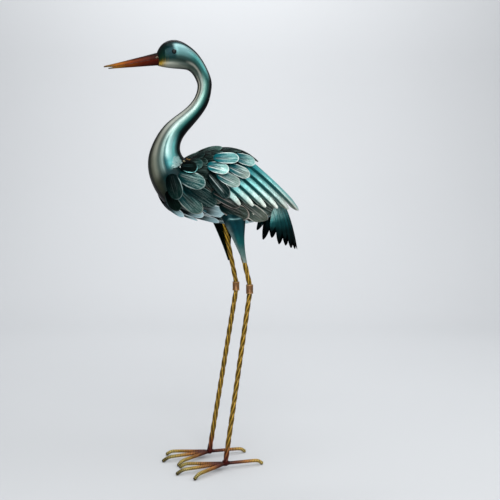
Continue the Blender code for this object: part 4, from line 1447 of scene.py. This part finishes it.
def build_weld():
    """A lumpy weld bead where the leg meets the toes."""
    n, m = 36, 22
    verts, cols = [], []
    rings = []
    for i in range(m + 1):
        th = math.pi * (0.02 + 0.96 * i / m)
        ring = []
        for k in range(n):
            a = 2 * math.pi * k / n
            lump = 1 + 0.09 * math.sin(3 * a + 2.1 * th) + 0.06 * math.sin(7 * a - 3 * th)
            r = np.array((7.4, 8.2, 6.6)) * lump
            ring.append(ANKLE + (0, 0, 1.2) + np.array((r[0] * math.sin(th) * math.cos(a), r[1] * math.sin(th) * math.sin(a), r[2] * math.cos(th))))
        rings.append(ring)
    verts, faces = loft(rings)
    col = np.tile(srgb(84, 28, 24), (len(verts), 1))
    attrs = {"col": col, "scuff": np.zeros(len(verts))}
    for side_name, flip in (("left", False), ("right", True)):
        obj = make_object(f"{side_name}_ankle_weld", verts, faces, BILL, attrs, flip, 60.0)
        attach(obj, "root")


build_weld()


# ------------------------------------------------------------ thigh covers
def build_thigh():
    bottom = HIP + (KNEE - HIP) * (HIP[2] - 467.0) / (HIP[2] - KNEE[2])
    cols, rows = 44, 80

    def at(t, a):
        centre = HIP + (bottom - HIP) * t + np.array((0.0, -4.0 * (1 - t) ** 2, 0.0))
        e = max(1 - t, 0.0)
        fore, aft = 5.0 + 19.0 * e**1.1, 5.0 + 25.0 * e**1.9
        depth = fore if a < 0 else aft
        bulge = 2.2 + 17.8 * e**1.15
        away = 8.4 - 8.4 * e
        return centre + np.array((away + bulge * math.cos(a), depth * math.sin(a), 0.0))

    outer = np.zeros((rows + 1, cols + 1, 3))
    V = np.zeros((rows + 1, cols + 1))
    for j in range(cols + 1):
        a = -math.pi / 2 + math.pi * j / cols
        low, high = at(0.35, a), at(0.0, a) + np.array((-3.0 * math.cos(a), 0, 0))
        upwards = unit(high - low)
        hit = tree.ray_cast(Vector(low), Vector(upwards))
        reach = (hit[3] if hit[0] is not None else 60.0) - 2.0
        reach = min(reach, (604.0 - low[2]) / upwards[2])
        top = low + upwards * reach
        for i in range(rows + 1):
            t = i / rows
            outer[i, j] = at(1.0 - 1.3 * t, a) if t <= 0.5 else low + (top - low) * (2 * t - 1)
            outer[i, j, 0] -= 7.0 * math.cos(a) * smooth(t, 0.72, 1.0)
            V[i, j] = t
    for _ in range(12):
        outer[1:-1] = 0.25 * outer[:-2] + 0.5 * outer[1:-1] + 0.25 * outer[2:]
    gy, gx = np.gradient(outer, axis=0), np.gradient(outer, axis=1)
    n = unit(np.cross(gy, gx))
    if n[rows // 2, cols // 2, 0] < 0:
        n = -n
    verts, faces = sheet(outer, outer - n * 0.9)
    A = np.broadcast_to(np.linspace(-1, 1, cols + 1), V.shape)
    c = ramp(
        V,
        (0.0, srgb(132, 142, 136)),
        (0.2, srgb(84, 116, 112)),
        (0.38, srgb(24, 92, 92)),
        (0.6, srgb(12, 62, 70)),
        (0.85, srgb(8, 40, 44)),
        (1.0, srgb(8, 30, 32)),
    )
    c = c * mix(np.ones(3), np.full(3, 0.72), smooth(V, 0.1, 0.4))
    front = 1 - smooth(A, -0.78, -0.36)
    c = mix(c, srgb(116, 134, 132), front * (1 - smooth(V, 0.55, 0.8)) * 0.85)
    # a thin pale arc across the top of the cover: a painted highlight
    arc = np.exp(-(((V - 0.75 - 0.09 * (A + 0.1) ** 2) / 0.009) ** 2)) * smooth(A, -0.6, -0.2) * (1 - smooth(A, 0.1, 0.4))
    c = mix(c, srgb(150, 196, 196), arc * 0.5)
    c = mix(c, c * 0.4, smooth(A, 0.6, 0.95) * 0.8)
    attrs = {
        "col": np.concatenate([c.reshape(-1, 3), np.tile(srgb(20, 28, 15), (V.size, 1))]),
        "scuff": np.zeros(2 * V.size),
    }
    for side_name, flip in (("left", False), ("right", True)):
        obj = make_object(f"{side_name}_thigh_cover_painted", verts, faces, WORN, attrs, flip, 60.0)
        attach(obj, "root")
        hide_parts(f"{side_name}_thigh_cover")


build_thigh()


def build_weld_beads():
    """Small lumps of weld where the neck feathers and coverts are fixed."""
    spots = (
        ((206.0, 167.5), 1.9, 5.0, srgb(110, 84, 50)),
        ((205.0, 170.8), 2.2, 5.0, srgb(70, 50, 30)),
        ((207.6, 173.4), 1.8, 5.0, srgb(150, 126, 90)),
        ((206.4, 176.8), 1.6, 4.0, srgb(84, 66, 40)),
        ((209.6, 164.8), 1.7, 5.5, srgb(60, 46, 26)),
        ((204.4, 180.0), 1.5, 4.0, srgb(120, 104, 76)),
        ((181.8, 164.6), 1.9, 3.5, srgb(196, 200, 190)),
        ((183.4, 161.8), 1.5, 3.0, srgb(150, 140, 110)),
        ((180.6, 167.4), 1.6, 3.0, srgb(190, 200, 196)),
        ((186.8, 160.2), 1.7, 3.5, srgb(90, 66, 30)),
        ((189.4, 161.4), 1.6, 4.5, srgb(124, 90, 34)),
    )
    verts, faces, cols = [], [], []
    for k, (px, r, lift, tone) in enumerate(spots):
        centre = seen(*px, lift * 0.6)
        r = r * 1.35
        n, m = 16, 10
        rings = []
        for i in range(m + 1):
            th = math.pi * (0.03 + 0.94 * i / m)
            rings.append(
                [
                    centre
                    + r
                    * (1 + 0.16 * math.sin(3 * 2 * math.pi * j / n + k + 2 * th))
                    * np.array(
                        (
                            0.8 * math.sin(th) * math.cos(2 * math.pi * j / n),
                            1.25 * math.sin(th) * math.sin(2 * math.pi * j / n),
                            math.cos(th),
                        )
                    )
                    for j in range(n)
                ]
            )
        v, f = loft(rings)
        start = sum(len(x) for x in verts)
        verts.append(v)
        faces += [tuple(start + q for q in face) for face in f]
        cols.append(np.tile(tone, (len(v), 1)))
    verts = np.concatenate(verts)
    attrs = {"col": np.concatenate(cols), "scuff": np.zeros(len(verts))}
    for side_name, flip in (("left", False), ("right", True)):
        obj = make_object(f"{side_name}_weld_beads", verts, faces, GOLD, attrs, flip, 60.0)
        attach(obj, "root")


build_weld_beads()


# ------------------------------------------------------------ studio
def build_stage():
    """A pale floor that curves up into a backdrop behind the statue."""
    prof = [(9.0, 0.0), (1.0, 0.0), (-2.2, 0.0)]
    for k in range(1, 17):
        a = math.pi / 2 * k / 16
        prof.append((-2.2 - 1.6 * math.sin(a), 1.6 - 1.6 * math.cos(a)))
    prof.append((-3.8, 5.6))
    fwd2 = np.array((-math.cos(YAW), math.sin(YAW)))
    side2 = np.array((math.sin(YAW), math.cos(YAW)))
    verts, faces = [], []
    for s in (-9.0, 9.0):
        for d, z in prof:
            p = -fwd2 * d + side2 * s
            verts.append((p[0], p[1], z - 0.0002))
    m = len(prof)
    for i in range(m - 1):
        faces.append((i, i + 1, m + i + 1, m + i))
    mesh = bpy.data.meshes.new("studio_floor")
    mesh.from_pydata(verts, [], faces)
    mesh.shade_smooth()
    mat, nodes, links, bsdf = new_material("studio_paper")
    obj_c = nodes.new("ShaderNodeTexCoord").outputs["Object"]
    n = noise(nodes, links, 1.2, 2.0, 0.5, obj_c).outputs["Fac"]
    base = mix_colour(nodes, links, n, (0.482, 0.488, 0.498), (0.500, 0.506, 0.516))
    links.new(base, bsdf.inputs["Base Color"])
    bsdf.inputs["Roughness"].default_value = 0.9
    bsdf.inputs["Specular IOR Level"].default_value = 0.15
    mesh.materials.append(mat)
    obj = bpy.data.objects.new("studio_floor", mesh)
    scene.collection.objects.link(obj)


build_stage()


def area_light(name, location, target, size, power, colour=(1, 1, 1), size_y=None):
    data = bpy.data.lights.new(name, "AREA")
    data.shape = "RECTANGLE"
    data.size, data.size_y = size, size_y or size
    data.energy = power
    data.color = colour
    obj = bpy.data.objects.new(name, data)
    obj.location = location
    aim = Vector(target) - Vector(location)
    obj.rotation_euler = aim.to_track_quat("-Z", "Y").to_euler()
    obj.visible_camera = False
    scene.collection.objects.link(obj)


area_light("key_softbox", (2.0, -0.5, 2.1), (0, 0, 0.65), 1.5, 38, (1.0, 0.99, 0.97))
area_light("side_fill", (2.9, -0.9, 0.9), (0, 0, 0.6), 2.2, 34, (1.0, 1.0, 1.0), 1.5)
area_light("rear_softbox", (1.2, 2.0, 1.6), (0, 0.1, 0.62), 1.4, 17, (0.97, 1.0, 1.0))
area_light("top_softbox", (0.5, 0.2, 2.7), (0, 0, 0.6), 1.8, 26, (0.96, 0.98, 1.0))
area_light("backdrop_lamp", (-1.6, 0.65, 3.4), (-3.6, 1.5, 1.2), 2.0, 97, (0.98, 0.99, 1.0))

scene.view_settings.view_transform = "Standard"
scene.view_settings.look = "None"
world = bpy.data.worlds.new("studio_light")
scene.world = world
world.use_nodes = True
background = world.node_tree.nodes["Background"]
background.inputs["Color"].default_value = (0.80, 0.84, 0.88, 1.0)
background.inputs["Strength"].default_value = 0.6

camera = bpy.data.objects.new("camera", bpy.data.cameras.new("camera"))
scene.collection.objects.link(camera)
scene.camera = camera
camera.location = Vector((CAM + SHIFT) * MM)
camera.rotation_euler = Vector(FWD).to_track_quat("-Z", "Y").to_euler()
camera.data.sensor_width = 36.0
camera.data.sensor_fit = "HORIZONTAL"
camera.data.lens = FOCAL / 500.0 * 36.0
camera.data.clip_start = 0.05
